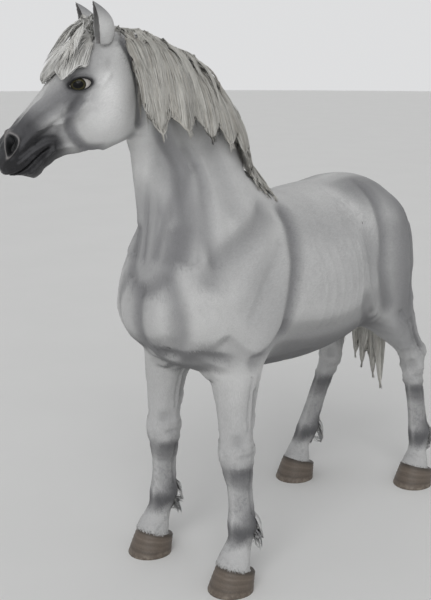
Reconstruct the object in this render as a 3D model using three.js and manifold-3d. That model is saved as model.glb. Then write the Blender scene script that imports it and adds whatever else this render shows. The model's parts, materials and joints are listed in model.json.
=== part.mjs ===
// A grey draught-type horse standing still, head turned to its right, as closed solids with thin cuts between them.
// Millimetres, +Z up. The horse faces -Y, its left side is on +X, and it stands on Z = 0.
import * as THREE from "three";
import { mergeVertices } from "three/addons/utils/BufferGeometryUtils.js";
import Module from "manifold-3d";

const wasm = await Module();
wasm.setup();

// Driving dimensions
const WITHERS_Z = 1512; // top of the withers above the ground
const BACK_Z = 1462; // lowest point of the back
const CROUP_Z = 1512; // top of the croup
const BELLY_Z = 770; // lowest point of the belly
const KNEE_Z = 532; // middle of the fore knee
const HOCK_Z = 628; // middle of the hock
const HEAD_LENGTH = 594; // poll to the end of the muzzle
const HEAD_TURN = THREE.MathUtils.degToRad(20); // heading of the head to the right of the trunk
const HEAD_DROP = THREE.MathUtils.degToRad(42); // slope of the face below the horizontal
const POLL = new THREE.Vector3(-142, -776, 2078); // top of the head between the ears
const HOOF_LENGTH = 190; // toe to heel on the ground
const HOOF_WIDTH = 180;
const HOOF_HEIGHT = 108; // at the toe
const EYE_RADIUS = 33;
const EAR_LENGTH = 148;
const GAP = 0.5; // width of the thin cuts between neighbouring solids

const UP = new THREE.Vector3(0, 0, 1);
const vec = (x, y, z) => new THREE.Vector3(x, y, z);

// ---------------------------------------------------------------- head frame

const headForward = vec(-Math.sin(HEAD_TURN), -Math.cos(HEAD_TURN), 0);
const headLeft = vec(Math.cos(HEAD_TURN), -Math.sin(HEAD_TURN), 0);
const headAlong = headForward.clone().multiplyScalar(Math.cos(HEAD_DROP)).addScaledVector(UP, -Math.sin(HEAD_DROP));
const headFace = headForward.clone().multiplyScalar(Math.sin(HEAD_DROP)).addScaledVector(UP, Math.cos(HEAD_DROP));

/** A point of the head: `along` from the poll to the muzzle, `out` of the face, and `left` of the middle plane. */
function onHead(along, out, left) {
  return POLL.clone().addScaledVector(headAlong, along).addScaledVector(headFace, out).addScaledVector(headLeft, left);
}

// ---------------------------------------------------------------- smooth field of the flesh

const smoothPower = (value, power) => Math.pow(Math.abs(value), power);

/** Catmull-Rom rows between the stations, `steps` to each interval. */
function resample(stations, steps) {
  const rows = [];
  const at = (i) => stations[Math.min(Math.max(i, 0), stations.length - 1)];
  for (let i = 0; i < stations.length - 1; i++) {
    for (let k = 0; k < steps; k++) {
      const t = k / steps;
      rows.push(at(i).map((_, c) => {
        const [a, b, d, e] = [at(i - 1)[c], at(i)[c], at(i + 1)[c], at(i + 2)[c]];
        return b + 0.5 * t * (d - a + t * (2 * a - 5 * b + 4 * d - e + t * (3 * (b - d) + e - a)));
      }));
    }
  }
  rows.push(at(stations.length - 1).slice());
  return rows;
}

/**
 * Distance-like field of a body part swept along its stations.
 * A station is [x, y, z, half width, half height on the upper side, half height on the lower side, upper power, turn].
 * The upper side is dorsal on head, neck and trunk, and the rear on a leg. `turn` is the heading of its left side.
 */
function sweep(stations, { cap = 40, lowerPower = 2.2, steps = 5 } = {}) {
  const rows = resample(stations, steps).map((r) => ({ at: vec(r[0], r[1], r[2]), size: r.slice(3, 7), turn: r[7] || 0 }));
  rows.forEach((row, i) => {
    const before = rows[Math.max(i - 1, 0)].at;
    const after = rows[Math.min(i + 1, rows.length - 1)].at;
    row.along = after.clone().sub(before).normalize();
    row.side = vec(Math.cos(row.turn), -Math.sin(row.turn), 0);
    row.side.addScaledVector(row.along, -row.side.dot(row.along)).normalize();
    row.top = row.side.clone().cross(row.along);
  });
  const reach = Math.max(...rows.map((r) => Math.max(...r.size.slice(0, 3))));
  const box = new THREE.Box3().setFromPoints(rows.map((r) => r.at)).expandByScalar(reach + cap);
  const mix = (a, b, t) => a + (b - a) * t;
  const from = new THREE.Vector3();

  return (p) => {
    const away = box.distanceToPoint(p);
    if (away > 150) return away;
    let nearest = 0;
    let least = Infinity;
    for (let i = 0; i < rows.length; i++) {
      const d = rows[i].at.distanceToSquared(p);
      if (d < least) [least, nearest] = [d, i];
    }
    const ahead = from.copy(p).sub(rows[nearest].at).dot(rows[nearest].along);
    const a = rows[Math.max(ahead < 0 ? nearest - 1 : nearest, 0)];
    const b = rows[Math.min(ahead < 0 ? nearest : nearest + 1, rows.length - 1)];
    const span = Math.max(a.at.distanceToSquared(b.at), 1e-6);
    const raw = a === b ? 0 : from.copy(p).sub(a.at).dot(b.at.clone().sub(a.at)) / span;
    const t = Math.min(Math.max(raw, 0), 1);
    from.copy(p).sub(a.at.clone().lerp(b.at, t));
    const side = from.dot(a.side.clone().lerp(b.side, t));
    const top = from.dot(a.top.clone().lerp(b.top, t));
    const off = from.dot(a.along);
    const beyond = (nearest === 0 && ahead < 0) || (nearest === rows.length - 1 && ahead > 0) ? off : 0;
    const wide = mix(a.size[0], b.size[0], t);
    const high = top > 0 ? mix(a.size[1], b.size[1], t) : mix(a.size[2], b.size[2], t);
    const power = top > 0 ? mix(a.size[3], b.size[3], t) : lowerPower;
    const ring = Math.pow(smoothPower(side / wide, power) + smoothPower(top / high, power), 1 / power);
    const r = Math.hypot(ring, beyond / cap);
    const length = Math.hypot(side, top, beyond);
    return r < 1e-3 ? -Math.min(wide, high) : Math.max(length * (1 - 1 / r), -Math.min(wide, high));
  };
}

/** Smooth union of two field values over the width `blend`. */
function join(a, b, blend) {
  const h = Math.max(blend - Math.abs(a - b), 0) / blend;
  return Math.min(a, b) - h * h * blend * 0.25;
}

// Trunk: y, middle z, half width, top z, bottom z, upper power.
const TRUNK = [
  [-742, 1085, 120, 1180, 990, 2],
  [-708, 1090, 194, 1262, 918, 2],
  [-645, 1095, 240, 1350, 878, 2],
  [-550, 1100, 260, 1420, 838, 1.9],
  [-420, 1108, 266, 1480, 806, 1.7],
  [-280, 1112, 275, WITHERS_Z, 784, 1.5],
  [-150, 1108, 294, 1485, BELLY_Z, 1.7],
  [-20, 1100, 315, BACK_Z, BELLY_Z - 8, 1.95],
  [110, 1100, 320, BACK_Z + 8, BELLY_Z - 4, 2.05],
  [230, 1115, 308, 1484, BELLY_Z + 18, 2.05],
  [340, 1160, 290, CROUP_Z, 835, 2],
  [450, 1210, 276, 1505, 920, 2],
  [550, 1220, 248, 1462, 985, 2],
  [640, 1210, 200, 1385, 1035, 2],
  [705, 1195, 130, 1295, 1090, 2],
].map(([y, z, wide, top, bottom, power]) => [0, y, z, wide, top - z, z - bottom, power, 0]);

// Neck, from behind the ears to the chest.
const NECK = [
  [-134, -716, 1952, 64, 138, 118, 1.9, HEAD_TURN],
  [-120, -650, 1898, 74, 184, 138, 1.8, HEAD_TURN],
  [-106, -572, 1815, 90, 228, 166, 1.6, HEAD_TURN * 0.85],
  [-88, -502, 1715, 106, 247, 200, 1.6, HEAD_TURN * 0.65],
  [-60, -460, 1590, 132, 235, 238, 1.6, HEAD_TURN * 0.4],
  [-28, -436, 1470, 160, 230, 268, 1.6, HEAD_TURN * 0.2],
  [-6, -420, 1360, 186, 222, 290, 1.7, 0],
  [0, -400, 1230, 200, 230, 285, 2, 0],
];

// Head: along the face, top and bottom profile measured out of the face, height of the widest line, half width.
const HEAD = [
  [HEAD_LENGTH - 8, -64, -122, -94, 30],
  [HEAD_LENGTH - 24, -38, -150, -90, 46],
  [552, -24, -173, -86, 55],
  [512, -13, -184, -82, 58],
  [465, -7, -190, -78, 54],
  [415, -5, -203, -78, 53],
  [365, -1, -231, -82, 59],
  [315, 5, -264, -86, 72],
  [265, 14, -303, -90, 90],
  [210, 22, -321, -90, 100],
  [150, 22, -319, -92, 99],
  [95, 14, -287, -94, 90],
  [40, 0, -230, -92, 78],
  [-10, -22, -178, -92, 62],
].map(([along, top, bottom, middle, wide]) => {
  const at = onHead(along, middle, 0);
  return [at.x, at.y, at.z, wide, top - middle, middle - bottom, 2.5, HEAD_TURN];
});

// Fore leg, from the shoulder to inside the hoof. Each half height is rear, then front.
const foreLeg = ({ side, hoofX, hoofY }) => [
  [110, -485, 1300, 75, 120, 130, 2, 0],
  [146, -500, 1150, 110, 150, 165, 2, 0],
  [164, -465, 1010, 114, 140, 150, 2, 0],
  [174, -457, 895, 100, 114, 112, 2, 0],
  [180, -462, 790, 84, 88, 92, 2, 0],
  [187, -468, 690, 70, 70, 78, 2, 0],
  [191, -474, KNEE_Z + 65, 64, 61, 68, 2.2, 0],
  [194, -478, KNEE_Z, 70, 65, 70, 2.4, 0],
  [197, -475, KNEE_Z - 65, 62, 60, 58, 2.3, 0],
  [203, -472, 395, 46, 55, 46, 2.1, 0],
  [209, -468, 310, 46, 56, 46, 2.1, 0],
  [213, -466, 245, 55, 61, 56, 2.1, 0],
  [hoofX - 4, hoofY + 50, 178, 48, 48, 47, 2, 0],
  [hoofX - 2, hoofY + 18, 110, 65, 58, 62, 2, 0],
  [hoofX, hoofY, 50, 74, 64, 74, 2, 0],
].map(([x, ...rest]) => [side * x, ...rest]);

// Hind leg, from the hip to inside the hoof. `lean` carries the joints forward or back with the hoof.
const hindLeg = ({ side, hoofX, hockY, fetlockY, hoofY }) => {
  const hip = 470;
  const thigh = (share) => THREE.MathUtils.lerp(hip, hockY, share);
  const cannon = (share) => THREE.MathUtils.lerp(hockY + 8, fetlockY, share);
  return [
    [112, hip, 1310, 100, 190, 170, 2, 0],
    [140, thigh(0.04), 1190, 118, 230, 200, 2, 0],
    [162, thigh(0.06), 1070, 122, 222, 205, 2, 0],
    [176, thigh(0.14), 960, 112, 185, 172, 2, 0],
    [182, thigh(0.38), 860, 92, 138, 125, 2, 0],
    [185, thigh(0.64), 770, 70, 92, 88, 2, 0],
    [187, thigh(0.86), HOCK_Z + 65, 56, 68, 64, 2, 0],
    [191, hockY, HOCK_Z, 58, 76, 61, 2.2, 0],
    [194, hockY + 6, HOCK_Z - 70, 50, 59, 53, 2.2, 0],
    [198, cannon(0.45), 440, 40, 48, 44, 2.1, 0],
    [207, cannon(0.85), 300, 41, 50, 45, 2.1, 0],
    [214, fetlockY, 228, 50, 57, 52, 2.1, 0],
    [hoofX - 3, THREE.MathUtils.lerp(fetlockY, hoofY, 0.45), 165, 43, 45, 43, 2, 0],
    [hoofX - 1, hoofY + 16, 105, 60, 55, 58, 2, 0],
    [hoofX, hoofY, 50, 70, 62, 70, 2, 0],
  ].map(([x, ...rest]) => [side * x, ...rest]);
};

const FORE_LEFT = { name: "fore_left", side: 1, hoofX: 222, hoofY: -530 };
const FORE_RIGHT = { name: "fore_right", side: -1, hoofX: 222, hoofY: -530 };
const HIND_LEFT = { name: "hind_left", side: 1, hoofX: 231, hockY: 758, fetlockY: 820, hoofY: 761 };
const HIND_RIGHT = { name: "hind_right", side: -1, hoofX: 231, hockY: 645, fetlockY: 506, hoofY: 446 };
const LEGS = [FORE_LEFT, FORE_RIGHT, HIND_LEFT, HIND_RIGHT];

// Broad swellings and hollows on both sides: from, to, reach, height.
const MUSCLES = [1, -1].flatMap((side) => [
  [vec(side * 75, -735, 1010), vec(side * 85, -730, 1090), 150, 22], // breast muscle
  [vec(side * 245, -400, 1010), vec(side * 215, -380, 1180), 170, 14], // upper arm
  [vec(side * 300, 250, 1130), vec(side * 285, 290, 1010), 150, -20], // flank hollow
  [onHead(175, -185, side * 80), onHead(225, -195, side * 80), 115, 16], // cheek
  [onHead(335, -130, side * 70), onHead(430, -95, side * 58), 60, -8], // hollow before the cheek
  [onHead(150, -20, side * 75), onHead(225, -18, side * 75), 55, 10], // brow
  [onHead(528, -60, side * 50), onHead(540, -62, side * 46), 50, 9], // nostril
]).concat([
  [onHead(528, -170, 0), onHead(540, -165, 0), 50, 12], // chin
]);

const trunkField = sweep(TRUNK);
const neckField = sweep(NECK, { cap: 60 });
const headField = sweep(HEAD, { cap: 16, lowerPower: 2.5 });
const legFields = LEGS.map((leg) => sweep(leg.hockY ? hindLeg(leg) : foreLeg(leg)));

const muscleLine = new THREE.Line3();
const muscleFoot = new THREE.Vector3();

/** The whole horse without hair, hooves, ears and eyes: negative inside, in about millimetres. */
function flesh(p) {
  let value = join(trunkField(p), neckField(p), 130);
  value = join(value, headField(p), 45);
  for (const leg of legFields) value = join(value, leg(p), 75);
  for (const [from, to, reach, height] of MUSCLES) {
    if (muscleFoot.copy(from).distanceToSquared(p) > (reach + 350) ** 2) continue;
    const away = muscleLine.set(from, to).closestPointToPoint(p, true, muscleFoot).distanceTo(p) / reach;
    if (away < 1) value -= height * (1 - away * away) ** 2;
  }
  return value;
}

/** Unit direction in which the field grows fastest. */
function outward(p, target = new THREE.Vector3()) {
  const e = 2;
  const probe = new THREE.Vector3();
  const slope = (axis) => flesh(probe.copy(p).addScaledVector(axis, e)) - flesh(probe.copy(p).addScaledVector(axis, -e));
  return target.set(slope(vec(1, 0, 0)), slope(vec(0, 1, 0)), slope(UP)).normalize();
}

// ---------------------------------------------------------------- field to mesh

/** Closed mesh of the flesh, swollen by `swell`, from `low` to `high` on a grid with cells of about `cell`. */
function meshOfFlesh(low, high, cell, swell = 0) {
  const size = high.clone().sub(low);
  const n = [size.x / cell.x, size.y / cell.y, size.z / cell.z].map((s) => Math.max(Math.ceil(s), 3) + 1);
  const step = vec(size.x / (n[0] - 1), size.y / (n[1] - 1), size.z / (n[2] - 1));
  const index = (i, j, k) => (k * n[1] + j) * n[0] + i;
  const values = new Float32Array(n[0] * n[1] * n[2]);
  const p = new THREE.Vector3();
  for (let k = 0; k < n[2]; k++) {
    for (let j = 0; j < n[1]; j++) {
      for (let i = 0; i < n[0]; i++) {
        const edge = i === 0 || j === 0 || k === 0 || i === n[0] - 1 || j === n[1] - 1 || k === n[2] - 1;
        const value = flesh(p.set(i, j, k).multiply(step).add(low)) - swell;
        values[index(i, j, k)] = edge ? Math.max(value, 1) : value;
      }
    }
  }
  const corners = [0, 1, 2, 3, 4, 5, 6, 7].map((c) => [c & 1, (c >> 1) & 1, (c >> 2) & 1]);
  const edges = [];
  for (let a = 0; a < 8; a++) for (const bit of [1, 2, 4]) if (!(a & bit)) edges.push([a, a | bit]);
  const cellVertex = new Map();
  const points = [];
  for (let k = 0; k < n[2] - 1; k++) {
    for (let j = 0; j < n[1] - 1; j++) {
      for (let i = 0; i < n[0] - 1; i++) {
        const at = corners.map(([x, y, z]) => values[index(i + x, j + y, k + z)]);
        const crossed = edges.filter(([a, b]) => at[a] < 0 !== at[b] < 0);
        if (!crossed.length) continue;
        const body = at.map((value, c) => (value < 0 ? c : -1));
        for (let round = 0; round < 4; round++) {
          for (const [a, b] of edges) if (at[a] < 0 && at[b] < 0) body[a] = body[b] = Math.min(body[a], body[b]);
        }
        for (const id of new Set(body.filter((c) => c >= 0))) {
          const own = crossed.filter(([a, b]) => body[at[a] < 0 ? a : b] === id);
          if (!own.length) continue;
          const sum = new THREE.Vector3();
          for (const [a, b] of own) sum.add(vec(...corners[a]).lerp(vec(...corners[b]), at[a] / (at[a] - at[b])));
          body.forEach((other, c) => { if (other === id) cellVertex.set(index(i, j, k) * 8 + c, points.length); });
          points.push(sum.divideScalar(own.length).add(vec(i, j, k)).multiply(step).add(low));
        }
      }
    }
  }
  const nearSurface = step.length() * 0.4;
  for (const point of points) {
    for (let round = 0; round < 3; round++) {
      const value = flesh(point) - swell;
      if (Math.abs(value) < nearSurface) point.addScaledVector(outward(point), -value * 0.8);
    }
  }
  const triangles = [];
  const strides = [[1, 0, 0], [0, 1, 0], [0, 0, 1]];
  for (let k = 0; k < n[2] - 1; k++) {
    for (let j = 0; j < n[1] - 1; j++) {
      for (let i = 0; i < n[0] - 1; i++) {
        strides.forEach((s, axis) => {
          const inside = values[index(i, j, k)] < 0;
          if (inside === values[index(i + s[0], j + s[1], k + s[2])] < 0) return;
          const u = strides[(axis + 1) % 3];
          const v = strides[(axis + 2) % 3];
          const own = inside ? [i, j, k] : [i + s[0], j + s[1], k + s[2]];
          const quad = [[0, 0], [1, 0], [1, 1], [0, 1]].map(([a, b]) => {
            const cell = [0, 1, 2].map((c) => [i, j, k][c] - a * u[c] - b * v[c]);
            const corner = own[0] - cell[0] + 2 * (own[1] - cell[1]) + 4 * (own[2] - cell[2]);
            return cellVertex.get(index(...cell) * 8 + corner);
          });
          if (!inside) quad.reverse();
          const [a, b, c, d] = quad;
          const short = points[a].distanceTo(points[c]) < points[b].distanceTo(points[d]);
          triangles.push(...(short ? [a, b, c, a, c, d] : [a, b, d, b, c, d]));
        });
      }
    }
  }
  return meshGeometry(points, triangles);
}

/** Geometry from points and a flat list of vertex numbers. */
function meshGeometry(points, triangles) {
  const geometry = new THREE.BufferGeometry().setFromPoints(points);
  geometry.setIndex(triangles);
  return geometry;
}

// ---------------------------------------------------------------- solids

/** A three.js geometry as a manifold-3d solid, whichever way its faces point. */
function solid(geometry) {
  const bare = geometry.index ? geometry.toNonIndexed() : geometry.clone();
  bare.deleteAttribute("normal");
  bare.deleteAttribute("uv");
  const merged = mergeVertices(bare, 1e-3);
  const vertProperties = merged.attributes.position.array;
  const triVerts = new Uint32Array(merged.index.array);
  const made = new wasm.Manifold(new wasm.Mesh({ numProp: 3, vertProperties, triVerts }));
  if (made.volume() > 0) return made;
  return new wasm.Manifold(new wasm.Mesh({ numProp: 3, vertProperties, triVerts: triVerts.reverse() }));
}

/** A manifold-3d solid as a three.js geometry, keeping only its largest body. */
function geometryOf(shape) {
  const largest = shape.decompose().reduce((a, b) => (b.volume() > a.volume() ? b : a));
  const mesh = largest.getMesh();
  return new THREE.BufferGeometry()
    .setAttribute("position", new THREE.BufferAttribute(new Float32Array(mesh.vertProperties), 3))
    .setIndex(new THREE.BufferAttribute(new Uint32Array(mesh.triVerts), 1));
}

const FAR = 3000;

/** A large block on the side of a plane that `normal` points to, starting `offset` from the plane. */
function beyondPlane(point, normal, offset = GAP / 2) {
  const way = normal.clone().normalize();
  const block = new THREE.BoxGeometry(FAR, FAR, FAR).applyQuaternion(new THREE.Quaternion().setFromUnitVectors(UP, way));
  const middle = point.clone().addScaledVector(way, FAR / 2 + offset);
  return solid(block.translate(middle.x, middle.y, middle.z));
}

/** Rings of points, each of the same number, skinned and closed by a flat cap at either end. */
function loft(rings) {
  const around = rings[0].length;
  const triangles = [];
  for (let ring = 0; ring < rings.length - 1; ring++) {
    for (let i = 0; i < around; i++) {
      const [a, b] = [ring * around + i, ring * around + ((i + 1) % around)];
      triangles.push(a, b, a + around, b, b + around, a + around);
    }
  }
  const last = (rings.length - 1) * around;
  for (let i = 1; i < around - 1; i++) triangles.push(0, i + 1, i, last, last + i, last + i + 1);
  return solid(meshGeometry(rings.flat(), triangles));
}

const materials = {
  coat: new THREE.MeshStandardMaterial({ color: 0xcfcfcf, roughness: 0.75, metalness: 0 }),
  lowerLeg: new THREE.MeshStandardMaterial({ color: 0x9c9c9c, roughness: 0.75, metalness: 0 }),
  hair: new THREE.MeshStandardMaterial({ color: 0xd9d7cf, roughness: 0.6, metalness: 0 }),
  horn: new THREE.MeshStandardMaterial({ color: 0x6a5d50, roughness: 0.5, metalness: 0 }),
  eye: new THREE.MeshStandardMaterial({ color: 0x1b1712, roughness: 0.08, metalness: 0 }),
};

const horse = new THREE.Group();

/** Adds a solid to the horse as a named mesh. */
function addNode(name, shape, material) {
  const mesh = new THREE.Mesh(geometryOf(shape), material);
  mesh.name = name;
  horse.add(mesh);
}

// ---------------------------------------------------------------- legs and hooves

/** The space of one leg: a prism along Y with an upright inner wall and a top that rises outwards. */
function legZone(leg, grow) {
  const { inner, innerZ, outerZ, front, rear } = leg.hockY
    ? { inner: 30, innerZ: 872, outerZ: 1035, front: 300, rear: 1100 }
    : { inner: 60, innerZ: 800, outerZ: 925, front: -800, rear: -330 };
  const outer = 460;
  const outline = new THREE.Shape([
    new THREE.Vector2(inner - grow, -100),
    new THREE.Vector2(outer, -100),
    new THREE.Vector2(outer, outerZ + grow),
    new THREE.Vector2(inner - grow, innerZ + grow),
  ]);
  const prism = new THREE.ExtrudeGeometry(outline, { depth: rear - front + 2 * grow, bevelEnabled: false });
  prism.rotateX(Math.PI / 2).translate(0, rear + grow, 0);
  if (leg.side < 0) prism.rotateZ(Math.PI).translate(0, front + rear, 0);
  return solid(prism);
}

/** A point of the sole's outline, `angle` round from the toe, as [x, y] from the sole's middle. */
function hoofOutline(angle, share) {
  const forward = Math.cos(angle);
  const heel = forward > 0 ? 0 : forward * forward;
  const reach = HOOF_LENGTH * (forward > 0 ? 0.53 : 0.47);
  return [Math.sin(angle) * HOOF_WIDTH * 0.5 * (1 - 0.22 * heel) * share, -forward * reach * (1 - 0.12 * heel) * share];
}

const CORONET_SLOPE = 0.34; // how fast the top of the hoof falls towards the heel
const TOE_SHIFT = 30; // how far the coronet's middle lies behind the sole's middle
const hoofTopZ = (y) => HOOF_HEIGHT - CORONET_SLOPE * (y + HOOF_LENGTH * 0.36);

/** One hoof: a sole with a round toe, drawn up and back to the sloping coronet. */
function hoof(leg) {
  const around = 22;
  const levels = 3;
  return loft(Array.from({ length: levels + 1 }, (_, level) => Array.from({ length: around }, (_, i) => {
    const [x, y] = hoofOutline((2 * Math.PI * i) / around, 1 - 0.17 * Math.pow(level / levels, 0.9));
    const back = y + (TOE_SHIFT * level) / levels;
    return vec(leg.side * leg.hoofX + x, leg.hoofY + back, (level / levels) * hoofTopZ(back));
  })));
}

/** The space above a hoof's top plane. */
const aboveHoof = (leg) =>
  beyondPlane(vec(leg.side * leg.hoofX, leg.hoofY, hoofTopZ(0)), vec(0, CORONET_SLOPE, 1), GAP);

/** The pointed tuft of long hair behind a fetlock. */
function fetlockTuft(leg) {
  const at = leg.hockY ? vec(214, leg.fetlockY + 50, 196) : vec(213, -404, 202);
  const profile = [[0, -70], [15, -34], [26, 18], [18, 56], [0, 74]].map(([r, h]) => new THREE.Vector2(r, h));
  const tuft = new THREE.LatheGeometry(profile, 7).rotateX(Math.PI / 2 + 0.35);
  return solid(tuft.translate(leg.side * at.x, at.y, at.z));
}

for (const leg of LEGS) {
  const [low, high] = leg.hockY ? [vec(20, 190, 20), vec(380, 1000, 1120)] : [vec(20, -700, 20), vec(360, -240, 1000)];
  const across = leg.side > 0 ? [low.x, high.x] : [-high.x, -low.x];
  const cutZ = leg.hockY ? HOCK_Z - 90 : KNEE_Z - 75;
  const upper = solid(meshOfFlesh(vec(across[0], low.y, cutZ - 60), vec(across[1], high.y, high.z), vec(43, 43, 60)))
    .intersect(legZone(leg, -GAP / 2))
    .intersect(beyondPlane(vec(0, 0, cutZ), UP));
  const lower = solid(meshOfFlesh(vec(across[0], low.y, low.z), vec(across[1], high.y, cutZ + 60), vec(28, 28, 52)))
    .subtract(beyondPlane(vec(0, 0, cutZ), UP, -GAP / 2))
    .add(fetlockTuft(leg))
    .intersect(aboveHoof(leg));
  addNode(`leg_${leg.name}_upper`, upper, materials.coat);
  addNode(`leg_${leg.name}_lower`, lower, materials.lowerLeg);
  addNode(`hoof_${leg.name}`, hoof(leg), materials.horn);
}

// ---------------------------------------------------------------- trunk, neck, head, eyes and ears

const NECK_BASE = vec(0, -470, 1400); // middle of the cut between neck and trunk
const NECK_BASE_NORMAL = vec(0, -0.62, 0.78); // towards the neck

/** The space of the head: a prism across it, bounded behind the poll, the jaw and the throat. */
function headZone(grow) {
  const outline = new THREE.Shape([
    [90, -62], [10, -62], [-130, 8], [-225, 46], [-325, 84], [-325, 760], [90, 760],
  ].map(([out, along]) => new THREE.Vector2(out, along - grow)));
  const prism = new THREE.ExtrudeGeometry(outline, { depth: 700, bevelEnabled: false }).translate(0, 0, -350);
  const place = new THREE.Matrix4().makeBasis(headFace, headAlong, headLeft).setPosition(POLL);
  return solid(prism.applyMatrix4(place));
}

const EYE_AT = { along: 216, out: -51, left: 78 };

/** The ball of one eye, `grow` larger than it is. */
function eyeBall(side, grow) {
  const at = onHead(EYE_AT.along, EYE_AT.out, side * EYE_AT.left);
  return solid(new THREE.SphereGeometry(EYE_RADIUS + grow, 14, 8).translate(at.x, at.y, at.z));
}

/** Middle, radius and directions of an ear at `share` of its length. */
function earRing(side, share) {
  const rise = UP.clone().addScaledVector(headForward, 0.35).addScaledVector(headLeft, side * 0.17).normalize();
  const open = headForward.clone();
  open.addScaledVector(rise, -open.dot(rise)).normalize();
  const middle = onHead(58, -18, side * 58).addScaledVector(rise, share * EAR_LENGTH)
    .addScaledVector(open, -14 * Math.sin(Math.PI * share));
  const radius = Math.max(37 * Math.sin(Math.PI * (0.2 + share * 0.8)) ** 0.75 * (1.22 - 0.4 * share), 1.5);
  const across = rise.clone().cross(open);
  const place = (r, angle) => middle.clone()
    .addScaledVector(open, -Math.cos(angle) * r).addScaledVector(across, Math.sin(angle) * r);
  return { radius, place };
}

const EAR_RINGS = Array.from({ length: 7 }, (_, ring) => ring / 6);

/** One ear: a leaf-shaped cup whose opening faces forward. */
const ear = (side) => loft(EAR_RINGS.map((share) => {
  const { radius, place } = earRing(side, share);
  const spread = THREE.MathUtils.lerp(2.5, 1.6, share);
  const wall = Math.min(THREE.MathUtils.lerp(9, 5, share), radius * 0.6);
  const angles = Array.from({ length: 6 }, (_, i) => THREE.MathUtils.lerp(-spread, spread, i / 5));
  return [...angles.map((a) => place(radius, a)), ...angles.reverse().map((a) => place(radius - wall, a))];
}));

/** The space that one ear takes up, with its hollow, a little larger all round. */
const earSpace = (side) => loft(EAR_RINGS.map((share) => {
  const { radius, place } = earRing(side, share);
  return Array.from({ length: 10 }, (_, i) => place(radius * 1.06 + 2, (i * Math.PI) / 5));
}));

// Grid of each region's mesh: lowest corner, highest corner and cell.
const TRUNK_GRID = [vec(-400, -840, 700), vec(400, 860, 1580), vec(76, 82, 72)];
const NECK_GRID = [vec(-340, -900, 1090), vec(300, -120, 2140), vec(52, 54, 52)];
const HEAD_GRID = [vec(-540, -1260, 1480), vec(80, -600, 2150), vec(33, 33, 33)];
const SWELL = 3; // how far the long hair and the ears stand off the flesh under them

let trunk = solid(meshOfFlesh(...TRUNK_GRID))
  .subtract(beyondPlane(NECK_BASE, NECK_BASE_NORMAL, -GAP / 2));
for (const leg of LEGS) trunk = trunk.subtract(legZone(leg, GAP / 2));
addNode("trunk", trunk, materials.coat);

const neck = solid(meshOfFlesh(...NECK_GRID))
  .intersect(beyondPlane(NECK_BASE, NECK_BASE_NORMAL))
  .subtract(headZone(GAP));
addNode("neck", neck, materials.coat);

let head = solid(meshOfFlesh(...HEAD_GRID)).intersect(headZone(0));
for (const side of [1, -1]) head = head.subtract(eyeBall(side, GAP));
addNode("head", head, materials.coat);

const fleshSolids = [TRUNK_GRID, NECK_GRID, HEAD_GRID].flatMap((grid) => [
  solid(meshOfFlesh(...grid, SWELL)),
  ...[[GAP, 0, 0], [-GAP, 0, 0], [0, GAP, 0], [0, -GAP, 0], [0, 0, GAP], [0, 0, -GAP]].map((shift) =>
    solid(meshOfFlesh(...grid).translate(...shift))),
]);

/** What is left of a shape outside the flesh, clear of its facets by a thin cut. */
const clearOfFlesh = (shape) => fleshSolids.reduce((left, flesh) => left.subtract(flesh), shape);

for (const [name, side] of [["left", 1], ["right", -1]]) {
  addNode(`eye_${name}`, eyeBall(side, 0), materials.eye);
  addNode(`ear_${name}`, clearOfFlesh(ear(side)), materials.coat);
}

// ---------------------------------------------------------------- mane, forelock and tail

const HAIR_DEPTH = -6; // height of the hair sheets' inner side over the flesh, which then cuts them

/** The point nearest `p` that lies `height` above the flesh. */
function settle(p, height) {
  const at = p.clone();
  for (let round = 0; round < 4; round++) at.addScaledVector(outward(at), height - flesh(at));
  return at;
}

/** A path from `start` that runs `length` over the flesh, bending from `heading` towards the ground. */
function hang(start, heading, length, steps, fall) {
  const path = [settle(start, HAIR_DEPTH)];
  const going = heading.clone().normalize();
  for (let i = 0; i < steps; i++) {
    going.addScaledVector(UP, -fall).normalize();
    const next = path[i].clone().addScaledVector(going, length / steps);
    if (flesh(next) < HAIR_DEPTH) next.copy(settle(next, HAIR_DEPTH));
    going.copy(next).sub(path[i]).normalize();
    path.push(next);
  }
  return path;
}

/** A sheet of locks over the flesh: inner paths side by side, and how thick the hair is at each share of them. */
function hairSheet(paths, thickness) {
  const rows = paths[0].length;
  const columns = paths.length;
  const inner = paths.flat();
  const outer = paths.flatMap((path, c) => path.map((p, r) =>
    p.clone().addScaledVector(outward(p), thickness(c / (columns - 1), r / (rows - 1)) - HAIR_DEPTH)));
  const triangles = [];
  const quad = (a, b, c, d) => triangles.push(a, b, c, a, c, d);
  const far = inner.length;
  for (let c = 0; c < columns - 1; c++) {
    for (let r = 0; r < rows - 1; r++) {
      const [a, b] = [c * rows + r, (c + 1) * rows + r];
      quad(a, a + 1, b + 1, b);
      quad(far + a, far + b, far + b + 1, far + a + 1);
    }
    const [top, next, foot] = [c * rows, (c + 1) * rows, rows - 1];
    quad(top, next, far + next, far + top);
    quad(top + foot, far + top + foot, far + next + foot, next + foot);
  }
  for (let r = 0; r < rows - 1; r++) {
    const last = (columns - 1) * rows + r;
    quad(r, far + r, far + r + 1, r + 1);
    quad(last, last + 1, far + last + 1, far + last);
  }
  return solid(meshGeometry([...inner, ...outer], triangles));
}

/** How far down its length a lock's edge reaches at `share` of the way along a row of `count` pointed locks. */
function lockEdge(share, count, depth) {
  const saw = Math.abs((((share * count) % 1) + 1) % 1 - 0.5) * 2;
  return 1 - depth * saw;
}

const CREST = new THREE.CatmullRomCurve3([
  vec(-139, -728, 2092), vec(-121, -585, 2066), vec(-97, -447, 1976), vec(-76, -356, 1888),
  vec(-54, -300, 1786), vec(-26, -250, 1668), vec(-4, -208, 1572), vec(0, -160, 1505),
]);
const MANE_LOCKS = 9;
const MANE_COLUMNS = 2 * MANE_LOCKS;
const MANE_ROOT = 20; // how far the roots lie to the right of the crest's middle

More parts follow.
